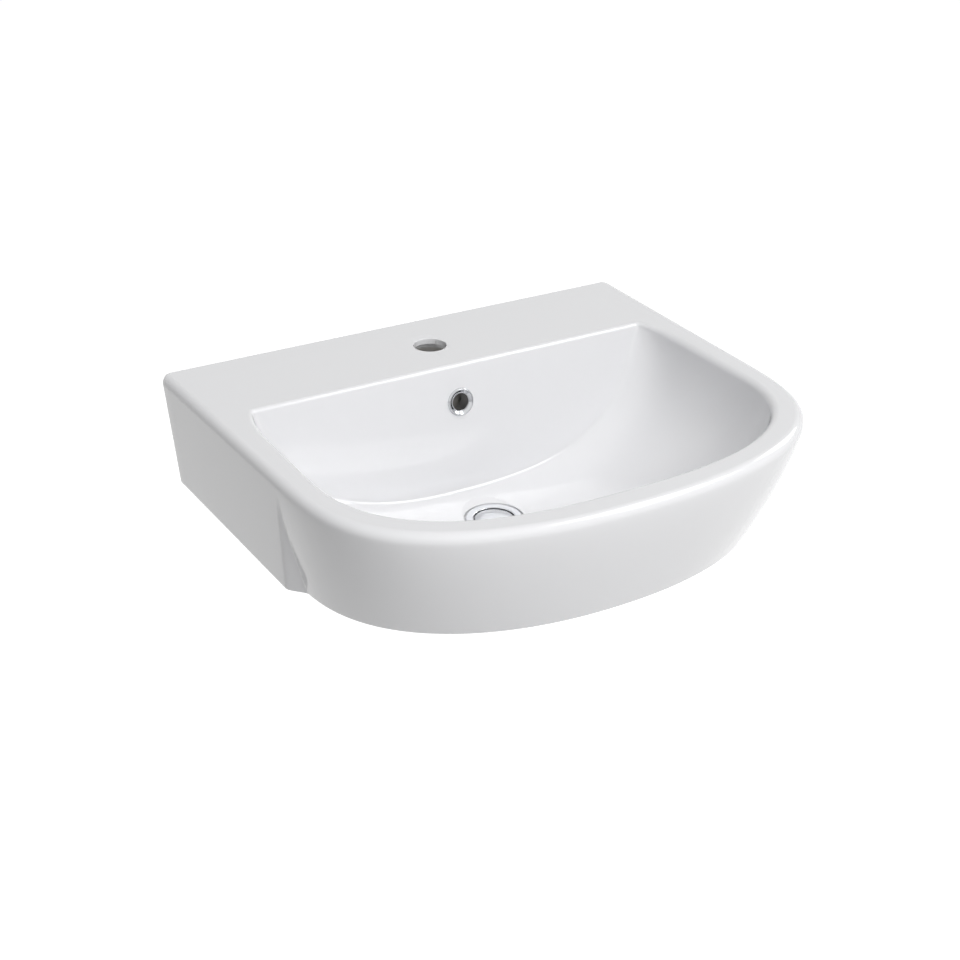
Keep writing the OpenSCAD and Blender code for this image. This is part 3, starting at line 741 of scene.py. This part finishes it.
def overflow_cutters(c, shape):
    """The overflow hole, the duct down behind the bowl and its run to the waste hole."""
    mouth_lip, deep = 0.8, -20
    duct_x, duct_t, duct_len, duct_above = 17, 12, 102, 14
    run_x, run_len, run_past, run_deg = 15.5, 61, 5, 22
    run_at = (0, -134, -69)
    at, tilt_deg = c.overflow_place(), 90 - c.lean_deg
    radius = to_mm(shape.overflow_hole) / 2
    mouth = lipped_bore("overflow_cut", radius, mouth_lip, PAST, deep, at, tilt_deg)
    low = (-duct_x, -duct_len, -c.wall - duct_t)
    duct = block("duct_cut", low, (duct_x, duct_above, -c.wall), at, tilt_deg)
    low = (-run_x, -run_len, -duct_t / 2)
    run = block("run_cut", low, (run_x, run_past, duct_t / 2), run_at, run_deg)
    # the duct's walls take the clay that is darkened with painted shade
    for cutter in (duct, run):
        slots = np.full(len(cutter.data.polygons), DUCT_SHADE_SLOT, np.int32)
        cutter.data.polygons.foreach_set("material_index", slots)
    return [mouth, duct, run]


def ceramic_cutters(c, shape):
    """All the cutters of the ceramic, in the order in which they cut."""
    lip = to_mm(shape.lip)
    return [
        *tap_cutters(shape, lip), *fixing_cutters(), *waste_cutters(c, shape),
        *overflow_cutters(c, shape),
    ]


# materials


def new_group(name, inputs, outputs):
    """An empty shader node group with float inputs and the given outputs."""
    group = bpy.data.node_groups.new(name, "ShaderNodeTree")
    for socket, value in inputs:
        made = group.interface.new_socket(socket, in_out="INPUT", socket_type="NodeSocketFloat")
        made.default_value = value
    for socket in outputs:
        group.interface.new_socket(socket, in_out="OUTPUT", socket_type="NodeSocketFloat")
    start = group.nodes.new("NodeGroupInput")
    end = group.nodes.new("NodeGroupOutput")
    return group, start, end


def add(tree, kind, values=None, **settings):
    """A node with its settings and its unlinked input values."""
    node = tree.nodes.new(kind)
    for key, value in settings.items():
        setattr(node, key, value)
    for key, value in (values or {}).items():
        node.inputs[key].default_value = value
    return node


def mottle_group():
    """Soft mottling and fine grain. Mottle is broad noise from 0 to 1, Rough adds fine
    noise to it and lies between Low and High, and Height is in metres for a Bump
    node."""
    name = "mottle"
    if name in bpy.data.node_groups:
        return bpy.data.node_groups[name]
    group, start, end = new_group(
        name,
        [("Broad scale", 20.0), ("Fine scale", 400.0), ("Low", 0.1), ("High", 0.2),
         ("Broad height", 0.0), ("Fine height", 0.0)],
        ["Mottle", "Rough", "Height"],
    )
    wire = group.links.new
    place_on = add(group, "ShaderNodeTexCoord")
    broad = add(group, "ShaderNodeTexNoise", {"Detail": 2.0, "Roughness": 0.5})
    fine = add(group, "ShaderNodeTexNoise", {"Detail": 3.0, "Roughness": 0.6})
    for node, scale in ((broad, "Broad scale"), (fine, "Fine scale")):
        wire(place_on.outputs["Object"], node.inputs["Vector"])
        wire(start.outputs[scale], node.inputs["Scale"])
    both = add(group, "ShaderNodeMath", operation="ADD")
    wire(broad.outputs["Fac"], both.inputs[0])
    wire(fine.outputs["Fac"], both.inputs[1])
    rough = add(group, "ShaderNodeMapRange", {"From Min": 0.6, "From Max": 1.4})
    wire(both.outputs[0], rough.inputs["Value"])
    wire(start.outputs["Low"], rough.inputs["To Min"])
    wire(start.outputs["High"], rough.inputs["To Max"])
    big = add(group, "ShaderNodeMath", operation="MULTIPLY")
    wire(broad.outputs["Fac"], big.inputs[0])
    wire(start.outputs["Broad height"], big.inputs[1])
    small = add(group, "ShaderNodeMath", operation="MULTIPLY_ADD")
    wire(fine.outputs["Fac"], small.inputs[0])
    wire(start.outputs["Fine height"], small.inputs[1])
    wire(big.outputs[0], small.inputs[2])
    wire(broad.outputs["Fac"], end.inputs["Mottle"])
    wire(rough.outputs[0], end.inputs["Rough"])
    wire(small.outputs[0], end.inputs["Height"])
    return group


def finish(name, base, other, mottle, metallic=0.0, bump=0.0, **surface):
    """A material whose colour drifts between two tones with the mottle, whose
    roughness and fine relief come from the same group, and whose other inputs are
    set on the shader itself."""
    if name in bpy.data.materials:
        return bpy.data.materials[name]
    material = bpy.data.materials.new(name)
    material.use_nodes = True
    tree = material.node_tree
    shader = tree.nodes["Principled BSDF"]
    shader.inputs["Metallic"].default_value = metallic
    for key, value in surface.items():
        shader.inputs[key.replace("_", " ")].default_value = value
    pattern = add(tree, "ShaderNodeGroup", node_tree=mottle_group())
    for key, value in mottle.items():
        pattern.inputs[key].default_value = value
    tone = add(tree, "ShaderNodeMix", data_type="RGBA")
    tone.inputs["A"].default_value = (*base, 1)
    tone.inputs["B"].default_value = (*other, 1)
    tree.links.new(pattern.outputs["Mottle"], tone.inputs["Factor"])
    tree.links.new(tone.outputs["Result"], shader.inputs["Base Color"])
    tree.links.new(pattern.outputs["Rough"], shader.inputs["Roughness"])
    if bump:
        relief = add(tree, "ShaderNodeBump", {"Strength": bump, "Distance": 1.0})
        tree.links.new(pattern.outputs["Height"], relief.inputs["Height"])
        tree.links.new(relief.outputs["Normal"], shader.inputs["Normal"])
    return material


def shade(tone, share):
    """A colour made darker or lighter by a share."""
    return tuple(min(1.0, max(0.0, v * share)) for v in tone)


def glaze_material(f):
    """White glaze: a glossy coat with a very slight ripple."""
    return finish(
        "white_glaze", tuple(f.glaze), shade(f.glaze, 0.985),
        {"Broad scale": 9.0, "Fine scale": 260.0, "Low": 0.05, "High": 0.11,
         "Broad height": 0.0006, "Fine height": 0.000002},
        bump=0.35, Coat_Weight=0.6, Coat_Roughness=0.03, Coat_IOR=1.5,
    )


def clay_material(f):
    """Fired clay, matt, where the glaze is wiped off."""
    return finish(
        "fired_clay", tuple(f.clay), shade(f.glaze, 0.95),
        {"Broad scale": 26.0, "Fine scale": 900.0, "Low": 0.45, "High": 0.8,
         "Broad height": 0.0008, "Fine height": 0.00008},
        bump=0.8,
    )


def duct_shade_material(f):
    """Unglazed clay in the overflow duct, darker than the clay: painted shade in the duct and
    its bore.
    """
    return finish(
        "duct_clay", tuple(f.duct), shade(f.duct, 0.8),
        {"Broad scale": 26.0, "Fine scale": 900.0, "Low": 0.5, "High": 0.8,
         "Fine height": 0.00005},
        bump=0.6,
    )


def chrome_material(f):
    """Polished chrome."""
    return finish(
        "polished_chrome", tuple(f.chrome), shade(f.chrome, 0.94),
        {"Broad scale": 60.0, "Fine scale": 1500.0, "Low": 0.04, "High": 0.1,
         "Fine height": 0.000002},
        metallic=1.0, bump=0.3,
    )


def brass_material(f):
    """Brass as it comes off the lathe."""
    return finish(
        "turned_brass", tuple(f.brass), shade(f.brass, 0.72),
        {"Broad scale": 90.0, "Fine scale": 1800.0, "Low": 0.22, "High": 0.4,
         "Fine height": 0.00001},
        metallic=1.0, bump=0.5,
    )


def steel_material(f):
    """Drawn stainless steel."""
    return finish(
        "drawn_steel", tuple(f.steel), shade(f.steel, 0.8),
        {"Broad scale": 120.0, "Fine scale": 2500.0, "Low": 0.18, "High": 0.32,
         "Fine height": 0.000005},
        metallic=1.0, bump=0.4,
    )


def rubber_material(f):
    """Matt black rubber."""
    return finish(
        "black_rubber", tuple(f.rubber), shade(f.rubber, 1.8),
        {"Broad scale": 70.0, "Fine scale": 1600.0, "Low": 0.5, "High": 0.75,
         "Fine height": 0.00003},
        bump=0.6,
    )


def nylon_material(f):
    """Moulded nylon."""
    return finish(
        "moulded_nylon", tuple(f.nylon), shade(f.nylon, 0.93),
        {"Broad scale": 50.0, "Fine scale": 1400.0, "Low": 0.3, "High": 0.45,
         "Fine height": 0.00001},
        bump=0.4, Subsurface_Weight=0.08,
    )


# operators


class WASHBASIN_OT_ceramic(bpy.types.Operator):
    """Builds the glazed ceramic with its rolled rim, bowl, apron, holes and boss"""

    bl_idname = "washbasin.ceramic"
    bl_label = "Ceramic"

    def execute(self, context):
        shape, tones = context.scene.basin_shape, context.scene.basin_finishes
        c = Ceramic(shape)
        grid, glazed = c.rows()
        first = np.array([[0, -c.waste_y, RIM_Z - c.bowl_h]])
        last = np.array([[0, -c.waste_y, RIM_Z - c.boss_foot]])
        mesh = mesh_from_grid("basin_glaze", grid, poles=(first, last))
        piece = link("basin_glaze", mesh)
        mesh.materials.append(glaze_material(tones))
        mesh.materials.append(clay_material(tones))
        mesh.materials.append(duct_shade_material(tones))
        cols = grid.shape[1]
        bare = np.zeros(len(mesh.polygons), np.int32)
        bare[glazed * cols : (len(grid) - 1) * cols] = CLAY_SLOT
        bare[-cols:] = CLAY_SLOT
        mesh.polygons.foreach_set("material_index", bare)
        combine(piece, ceramic_cutters(c, shape), "DIFFERENCE")
        smooth_shade(piece, 30)
        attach(piece, FIXED_BODY)
        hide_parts("basin")
        return {"FINISHED"}


class WASHBASIN_OT_overflow_ring(bpy.types.Operator):
    """Turns the chrome trim ring of the overflow"""

    bl_idname = "washbasin.overflow_ring"
    bl_label = "Overflow ring"

    def execute(self, context):
        scene = context.scene
        c = Ceramic(scene.basin_shape)
        outer = to_mm(scene.basin_waste.trim_ring) / 2
        # the face slopes down to the hole from a narrow crest, lower than the CAD ring's
        bore, neck, snap = 9.2, 10.7, 0.2
        foot, snap_foot, snap_top, seat, top, lip = -15.5, -13.5, -12.5, 0.05, 2.6, 0.4
        corners = [
            (bore, foot), (neck, foot), (neck + snap, snap_foot), (neck, snap_top),
            (neck, seat), (outer, seat), (outer, 1.0), (outer - 1.1, top),
            (outer - 2.1, top), (bore + 1.2, lip), (bore, lip),
        ]
        radii = [0.3, 0.3, 0.3, 0.3, 0, 0.3, 0.7, 0.6, 0.4, 0.4, 0.4]
        profile, tilt_deg = rounded(corners, radii, 8), 90 - c.lean_deg
        piece = turned("overflow_trim", profile, 128, c.overflow_place(), tilt_deg)
        piece.data.materials.append(chrome_material(scene.basin_finishes))
        smooth_shade(piece, 40)
        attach(piece, FIXED_BODY)
        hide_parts("overflow_ring")
        return {"FINISHED"}


def threaded(grid, pitch, depth, top, foot, radius):
    """Sinks a helical thread into the outside of a turned grid. With w the share of a
    turn, r = radius - depth * ease(1.15 |2 frac(z / pitch - w) - 1| - 0.1), faded out
    over the last few millimetres at both ends."""
    steepness, flat_crest = 1.15, 0.1
    top_fade, foot_fade, touching = 3, 2, 0.01
    x, y, z = grid[..., 0], grid[..., 1], grid[..., 2]
    r = np.hypot(x, y)
    w = np.arctan2(y, x) / (2 * math.pi)
    phase = np.mod(z / pitch - w, 1)
    fade = ease((top - z) / top_fade) * ease((z - foot) / foot_fade)
    outside = np.abs(r - radius) < touching
    flank = ease(steepness * np.abs(2 * phase - 1) - flat_crest)
    sunk = depth * flank * fade * outside
    scale = (r - sunk) / r
    return np.stack([x * scale, y * scale, z], axis=-1)


def spun_blocks(name, low, high, origin, spins_deg):
    """Copies of one block, spun about the Z axis of the origin."""
    return [
        block(f"{name}_{k}", low, high, origin, spin_deg=spin)
        for k, spin in enumerate(spins_deg)
    ]


class WASHBASIN_OT_waste_body(bpy.types.Operator):
    """Turns the waste: flange, plug seat, threaded tail, overflow slots and spider"""

    bl_idname = "washbasin.waste_body"
    bl_label = "Waste body"

    def execute(self, context):
        scene = context.scene
        c, w = Ceramic(scene.basin_shape), scene.basin_waste
        at = c.waste_place()
        flange, tail = to_mm(w.flange) / 2, to_mm(w.tail) / 2
        bore, cup, neck = tail - 2.4, to_mm(w.cap) / 2 + 1.3, to_mm(w.cap) / 2 + 2.6
        seat, shoulder, thread_top, foot = 1.5, -8, -10, -74
        corners = [
            (cup, 3.0), (cup + 0.8, 3.5), (flange - 1.2, 3.7), (flange, 3.2), (flange, seat),
            (neck, seat), (neck, shoulder), (tail, thread_top), (tail, foot), (bore, foot),
            (bore, -4.5), (cup, -0.5),
        ]
        radii = [0.5, 0.6, 0.9, 0.5, 0.3, 0.1, 0.3, 0.3, 0.5, 0.4, 0.5, 0.3]
        profile = subdivide(rounded(corners, radii, 5), 0.3)
        grid = carried_round(profile[:, :1], profile[:, 1:], around(112))
        pitch, depth = to_mm(w.thread_pitch), to_mm(w.thread_depth)
        grid = threaded(grid, pitch, depth, thread_top - 1, foot + 1, tail)
        mesh = mesh_from_grid("waste_brass", place(grid, at), loop_rows=True)
        piece = link("waste_brass", mesh)

        slot_half, slot_foot, slot_top = 7.5, -20, -11
        low, high = (bore - 2, -slot_half, slot_foot), (tail + 4, slot_half, slot_top)
        combine(piece, spun_blocks("slot", low, high, at, (90, 270)), "DIFFERENCE")

        hub_bore, hub_r, hub_foot, hub_top = 8.02, 10.5, -32, -24
        corners = [
            (hub_bore, hub_foot), (hub_r, hub_foot), (hub_r, hub_top), (hub_bore, hub_top),
        ]
        hub = turned("hub", rounded(corners, [0.2, 0.5, 0.5, 0.2], 4), 72, at)
        rib_half, rib_start, rib_top = 1.4, 9.2, -26
        low, high = (rib_start, -rib_half, hub_foot), (bore + 0.6, rib_half, rib_top)
        combine(hub, spun_blocks("rib", low, high, at, (0, 120, 240)), "UNION")
        combine(piece, [hub], "UNION")
        piece.data.materials.clear()
        piece.data.materials.append(chrome_material(scene.basin_finishes))
        smooth_shade(piece, 35)
        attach(piece, FIXED_BODY)
        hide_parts("waste_body")
        return {"FINISHED"}


class WASHBASIN_OT_clamp_rings(bpy.types.Operator):
    """Turns the rubber cone and the slip washer under the boss"""

    bl_idname = "washbasin.clamp_rings"
    bl_label = "Cone and washer"

    def execute(self, context):
        scene = context.scene
        c, tones = Ceramic(scene.basin_shape), scene.basin_finishes
        bore = to_mm(scene.basin_waste.tail) / 2 + FIT_GAP
        cone_r, cone_foot, cone_seat, cone_top = 32, -43, -36, -31
        cone = rounded(
            [(bore, cone_foot), (cone_r, cone_foot), (cone_r, cone_seat), (23.4, cone_seat),
             (21.8, cone_top), (bore, cone_top)],
            [0.2, 1.0, 1.2, 0.2, 0.3, 0.2], 5,
        )
        washer_r = 31
        washer = rounded(
            [(bore, WASHER_FOOT), (washer_r, WASHER_FOOT), (washer_r, cone_foot),
             (bore, cone_foot)],
            [0.1, 0.5, 0.3, 0.1], 4,
        )
        for name, profile, node, slot, make in (
            ("rubber_cone", cone, "cone_washer", "rubber", rubber_material),
            ("slip_ring", washer, "slip_washer", "nylon", nylon_material),
        ):
            piece = turned(name, profile, 120, c.waste_place())
            piece.data.materials.append(make(tones))
            smooth_shade(piece, 40)
            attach(piece, FIXED_BODY)
            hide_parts(node)
        return {"FINISHED"}


class WASHBASIN_OT_back_nut(bpy.types.Operator):
    """Shapes the six-sided back nut with its collar and chamfers"""

    bl_idname = "washbasin.back_nut"
    bl_label = "Back nut"

    def execute(self, context):
        scene = context.scene
        c = Ceramic(scene.basin_shape)
        bore = to_mm(scene.basin_waste.tail) / 2 + FIT_GAP
        flats, top, foot, collar = 26.0, WASHER_FOOT, -53.6, -47.1
        beyond, collar_r, bevel = 31.0, 27.5, 0.6
        t = around(192)
        hexagon = flats / np.cos(np.mod(t, math.pi / 3) - math.pi / 6)
        # radius limit, height, and 1 where the outline is round and not the hexagon
        shape = [
            (bore + bevel, foot, 0), (26.6, foot, 0), (28.4, foot + 0.6, 0),
            (beyond, foot + 1.6, 0), (beyond, collar - 1.0, 0), (29.0, collar - 0.2, 0),
            (27.6, collar, 0), (collar_r, collar + 0.2, 1), (collar_r, top - 0.5, 1),
            (27.0, top, 1), (bore + bevel, top, 1), (bore, top - bevel, 1),
            (bore, foot + bevel, 1),
        ]
        limit, z, is_round = (np.array(v, float)[:, None] for v in zip(*shape))
        r = np.where(is_round > 0, limit, np.minimum(hexagon, limit))
        grid = place(carried_round(r, z, t), c.waste_place())
        piece = link("hex_nut", mesh_from_grid("hex_nut", grid, loop_rows=True))
        piece.data.materials.append(brass_material(scene.basin_finishes))
        smooth_shade(piece, 22)
        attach(piece, FIXED_BODY)
        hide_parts("back_nut")
        return {"FINISHED"}


class WASHBASIN_OT_plug_cap(bpy.types.Operator):
    """Turns the domed plug cap"""

    bl_idname = "washbasin.plug_cap"
    bl_label = "Plug cap"

    def execute(self, context):
        scene = context.scene
        c, w = Ceramic(scene.basin_shape), scene.basin_waste
        # narrower and lower than the CAD cap, and with no hole for the stud in its boss
        r, dome = to_mm(w.cap) / 2, to_mm(w.cap_dome)
        ball = (r * r + dome * dome) / (2 * dome)
        foot, edge, stub_r, stub_len = 1.1, 1.3, 6, 3.5
        x = np.linspace(r - 1.2, 0, 32)
        crown = foot + edge + dome - ball + np.sqrt(ball * ball - x * x)
        edges = [
            (0, foot - stub_len), (stub_r, foot - stub_len), (stub_r, foot), (r, foot),
            (r, foot + edge),
        ]
        corners = edges + list(zip(x, crown))
        profile = rounded(corners, [0, 0.4, 0, 0.4, 0.6] + [0] * len(x), 5)
        piece = turned_solid("domed_cap", profile, 144, c.waste_place())
        piece.data.materials.append(chrome_material(scene.basin_finishes))
        smooth_shade(piece, 40)
        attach(piece, PLUG_BODY)
        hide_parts("plug_cap")
        return {"FINISHED"}


class WASHBASIN_OT_return_spring(bpy.types.Operator):
    """Winds the return spring as a round wire along a helix"""

    bl_idname = "washbasin.return_spring"
    bl_label = "Return spring"

    def execute(self, context):
        scene = context.scene
        low, high = (to_mm(np.array(v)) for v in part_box("return_spring"))
        c = Ceramic(scene.basin_shape)
        # radius of the wire, and the turns of the helix with the steps in each
        wire, turns, turn_steps = 0.5, 5, 48
        ring = (high[0] - low[0]) / 2 - wire
        a = 2 * math.pi * turns * np.linspace(0, 1, turns * turn_steps + 1)[:, None]
        b = around(12)[None, :]
        z0, z1 = low[2] + wire, high[2] - wire
        z = mix(z0, z1, a / a[-1]) + wire * np.sin(b)
        r = ring + wire * np.cos(b)
        grid = np.stack([r * np.cos(a), r * np.sin(a) - c.waste_y, z], axis=-1)
        poles = tuple(grid[k].mean(axis=0, keepdims=True) for k in (0, -1))
        piece = link("wire_spring", mesh_from_grid("wire_spring", grid, poles=poles))
        piece.data.materials.append(steel_material(scene.basin_finishes))
        smooth_shade(piece, 50)
        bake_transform(piece)
        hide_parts("return_spring")
        return {"FINISHED"}


class WASHBASIN_OT_carried_parts(bpy.types.Operator):
    """Gives the CAD pieces that stay their finishes"""

    bl_idname = "washbasin.carried_parts"
    bl_label = "Carried parts"

    def execute(self, context):
        tones = context.scene.basin_finishes
        for node, make in (
            ("flange_seal", rubber_material),
            ("plug_seal", rubber_material),
            ("click_housing", nylon_material),
            ("click_base", nylon_material),
            ("plunger", brass_material),
            ("latch_pin", steel_material),
            ("plug_stud", steel_material),
            ("stud_nut", steel_material),
        ):
            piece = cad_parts[node]
            for slot in piece.material_slots:
                slot.material = make(tones)
        return {"FINISHED"}


# studio


# lamps as name, direction the light comes from, distance and size in metres, watts,
# and whether it gives the soft light or only the glints in the glaze and the chrome
LAMPS = (
    ("overhead_panel", (0.0, -0.05, 1.0), 4.0, 4.0, 62.0, "soft"),
    ("forward_panel", (0.0, -0.95, 1.0), 4.5, 3.5, 120.0, "soft"),
    ("low_left_panel", (-0.3, -1.0, 0.1), 4.0, 2.2, 29.0, "soft"),
    ("low_right_panel", (0.65, -1.0, 0.1), 4.0, 2.2, 27.0, "soft"),
    ("glint_panel", (0.5, -0.42, 0.76), 1.8, 0.9, 13.0, "glint"),
    ("side_glint_panel", (0.85, 0.05, 0.5), 1.8, 0.6, 5.0, "glint"),
)


def shows_white(tree):
    """A socket that is 1 for rays from the camera, in reflections and through glass, and
    0 for the diffuse light that falls on the object."""
    path = add(tree, "ShaderNodeLightPath")
    first = add(tree, "ShaderNodeMath", operation="MAXIMUM")
    both = add(tree, "ShaderNodeMath", operation="MAXIMUM")
    tree.links.new(path.outputs["Is Camera Ray"], first.inputs[0])
    tree.links.new(path.outputs["Is Glossy Ray"], first.inputs[1])
    tree.links.new(first.outputs[0], both.inputs[0])
    tree.links.new(path.outputs["Is Transmission Ray"], both.inputs[1])
    return both.outputs[0]


def studio_world(scene):
    """A world that is white to the camera, in reflections and through glass, and a dim
    even light for the rest."""
    world = bpy.data.worlds.new("studio")
    scene.world = world
    world.use_nodes = True
    tree = world.node_tree
    tree.nodes.clear()
    out = add(tree, "ShaderNodeOutputWorld")
    lit = add(tree, "ShaderNodeBackground", {"Color": (1, 1, 1, 1), "Strength": 0.1})
    seen = add(tree, "ShaderNodeBackground", {"Color": (1, 1, 1, 1), "Strength": 1.0})
    blend = add(tree, "ShaderNodeMixShader")
    tree.links.new(shows_white(tree), blend.inputs["Fac"])
    tree.links.new(lit.outputs[0], blend.inputs[1])
    tree.links.new(seen.outputs[0], blend.inputs[2])
    tree.links.new(blend.outputs[0], out.inputs["Surface"])


def floor_material(tones):
    """Grey floor that takes the shadow, and shows as near white to the camera and in
    reflections."""
    glow = 0.95
    material = bpy.data.materials.new("studio_floor")
    material.use_nodes = True
    tree = material.node_tree
    shader = tree.nodes["Principled BSDF"]
    shader.inputs["Base Color"].default_value = (*tones.floor, 1)
    shader.inputs["Roughness"].default_value = 0.9
    shader.inputs["Specular IOR Level"].default_value = 0.0
    shader.inputs["Emission Color"].default_value = (1, 1, 1, 1)
    lift = add(tree, "ShaderNodeMath", {1: glow}, operation="MULTIPLY")
    tree.links.new(shows_white(tree), lift.inputs[0])
    tree.links.new(lift.outputs[0], shader.inputs["Emission Strength"])
    return material


def studio_floor(scene):
    """A level square of floor below the basin."""
    z, half = RIM_Z - to_mm(scene.basin_stage.floor_drop), 15000.0
    points = np.array([[-half, -half, z], [half, -half, z], [half, half, z], [-half, half, z]])
    quads, tris = np.array([[0, 1, 2, 3]]), np.zeros((0, 3), int)
    mesh = mesh_from_faces("studio_floor", points, quads, tris)
    mesh.materials.append(floor_material(scene.basin_finishes))
    link("studio_floor", mesh)


def studio_lamps(scene):
    """Square lamps round the middle of the basin, each turned towards it."""
    middle = Vector((0, -0.25, 0))
    for name, direction, distance, size, power, gives in LAMPS:
        lamp = bpy.data.lights.new(name, "AREA")
        lamp.shape = "SQUARE"
        lamp.size = size
        lamp.energy = power * scene.basin_stage.level
        source = bpy.data.objects.new(name, lamp)
        scene.collection.objects.link(source)
        source.visible_glossy = gives == "glint"
        source.visible_diffuse = gives == "soft"
        source.visible_camera = False
        away = Vector(direction).normalized()
        source.location = middle + away * distance
        source.rotation_euler = away.to_track_quat("Z", "Y").to_euler()


# camera of the photograph: the point it looks at and its distance in metres, its
# azimuth, elevation and roll in degrees, and its focal length and the picture's width
# in pixels
CAMERA_TARGET = (-0.05171, -0.26255, 0.015)
CAMERA_DISTANCE = 1.5502
CAMERA_ANGLES = (-30.605, 27.640, 0.418)
FOCAL_PX, WIDTH_PX = 1598.60, 960
SENSOR_MM = 36.0


def photo_camera(scene):
    """A camera that sees the basin as the photograph does."""
    az, el, roll = (math.radians(v) for v in CAMERA_ANGLES)
    back = Vector((math.sin(az) * math.cos(el), -math.cos(az) * math.cos(el), math.sin(el)))
    right = (-back).cross(Vector((0, 0, 1))).normalized()
    up = right.cross(-back)
    side = right * math.cos(roll) + up * math.sin(roll)
    head = up * math.cos(roll) - right * math.sin(roll)
    eye = Vector(CAMERA_TARGET) + back * CAMERA_DISTANCE
    data = bpy.data.cameras.new("photo_view")
    data.sensor_width = SENSOR_MM
    data.lens = FOCAL_PX / WIDTH_PX * SENSOR_MM
    data.clip_end = 60
    camera = bpy.data.objects.new("photo_view", data)
    scene.collection.objects.link(camera)
    rows = [(side[k], head[k], back[k], eye[k]) for k in range(3)]
    camera.matrix_world = Matrix([*rows, (0, 0, 0, 1)])
    scene.camera = camera


class WASHBASIN_OT_stage(bpy.types.Operator):
    """Sets the floor, the lamps, the world and the camera"""

    bl_idname = "washbasin.stage"
    bl_label = "Studio"

    def execute(self, context):
        scene = context.scene
        studio_floor(scene)
        studio_world(scene)
        studio_lamps(scene)
        photo_camera(scene)
        scene.view_settings.view_transform = "Standard"
        return {"FINISHED"}


class WASHBASIN_PT_panel(bpy.types.Panel):
    """Lists the pieces and their settings"""

    bl_idname = "WASHBASIN_PT_panel"
    bl_label = "Washbasin"
    bl_space_type = "VIEW_3D"
    bl_region_type = "UI"
    bl_category = "Washbasin"

    def draw(self, context):
        layout, scene = self.layout, context.scene
        for operator in OPERATORS:
            layout.operator(operator.bl_idname)
        for group in (scene.basin_shape, scene.basin_waste, scene.basin_finishes,
                      scene.basin_stage):
            box = layout.box()
            for key in group.__annotations__:
                box.prop(group, key)


GROUPS = (
    ("basin_shape", BasinShape),
    ("basin_waste", WasteShape),
    ("basin_finishes", Finishes),
    ("basin_stage", Stage),
)
OPERATORS = (
    WASHBASIN_OT_ceramic,
    WASHBASIN_OT_overflow_ring,
    WASHBASIN_OT_waste_body,
    WASHBASIN_OT_clamp_rings,
    WASHBASIN_OT_back_nut,
    WASHBASIN_OT_plug_cap,
    WASHBASIN_OT_return_spring,
    WASHBASIN_OT_carried_parts,
    WASHBASIN_OT_stage,
)


def register():
    """Registers the settings, the operators and the panel."""
    for name, group in GROUPS:
        bpy.utils.register_class(group)
        setattr(bpy.types.Scene, name, bpy.props.PointerProperty(type=group))
    for operator in OPERATORS:
        bpy.utils.register_class(operator)
    bpy.utils.register_class(WASHBASIN_PT_panel)


def unregister():
    """Takes them all away again, last first."""
    bpy.utils.unregister_class(WASHBASIN_PT_panel)
    for operator in reversed(OPERATORS):
        bpy.utils.unregister_class(operator)
    for name, group in reversed(GROUPS):
        delattr(bpy.types.Scene, name)
        bpy.utils.unregister_class(group)


def main():
    """Registers the classes and builds every piece in order."""
    register()
    for operator in OPERATORS:
        family, name = operator.bl_idname.split(".")
        getattr(getattr(bpy.ops, family), name)()


if __name__ == "__main__":
    main()
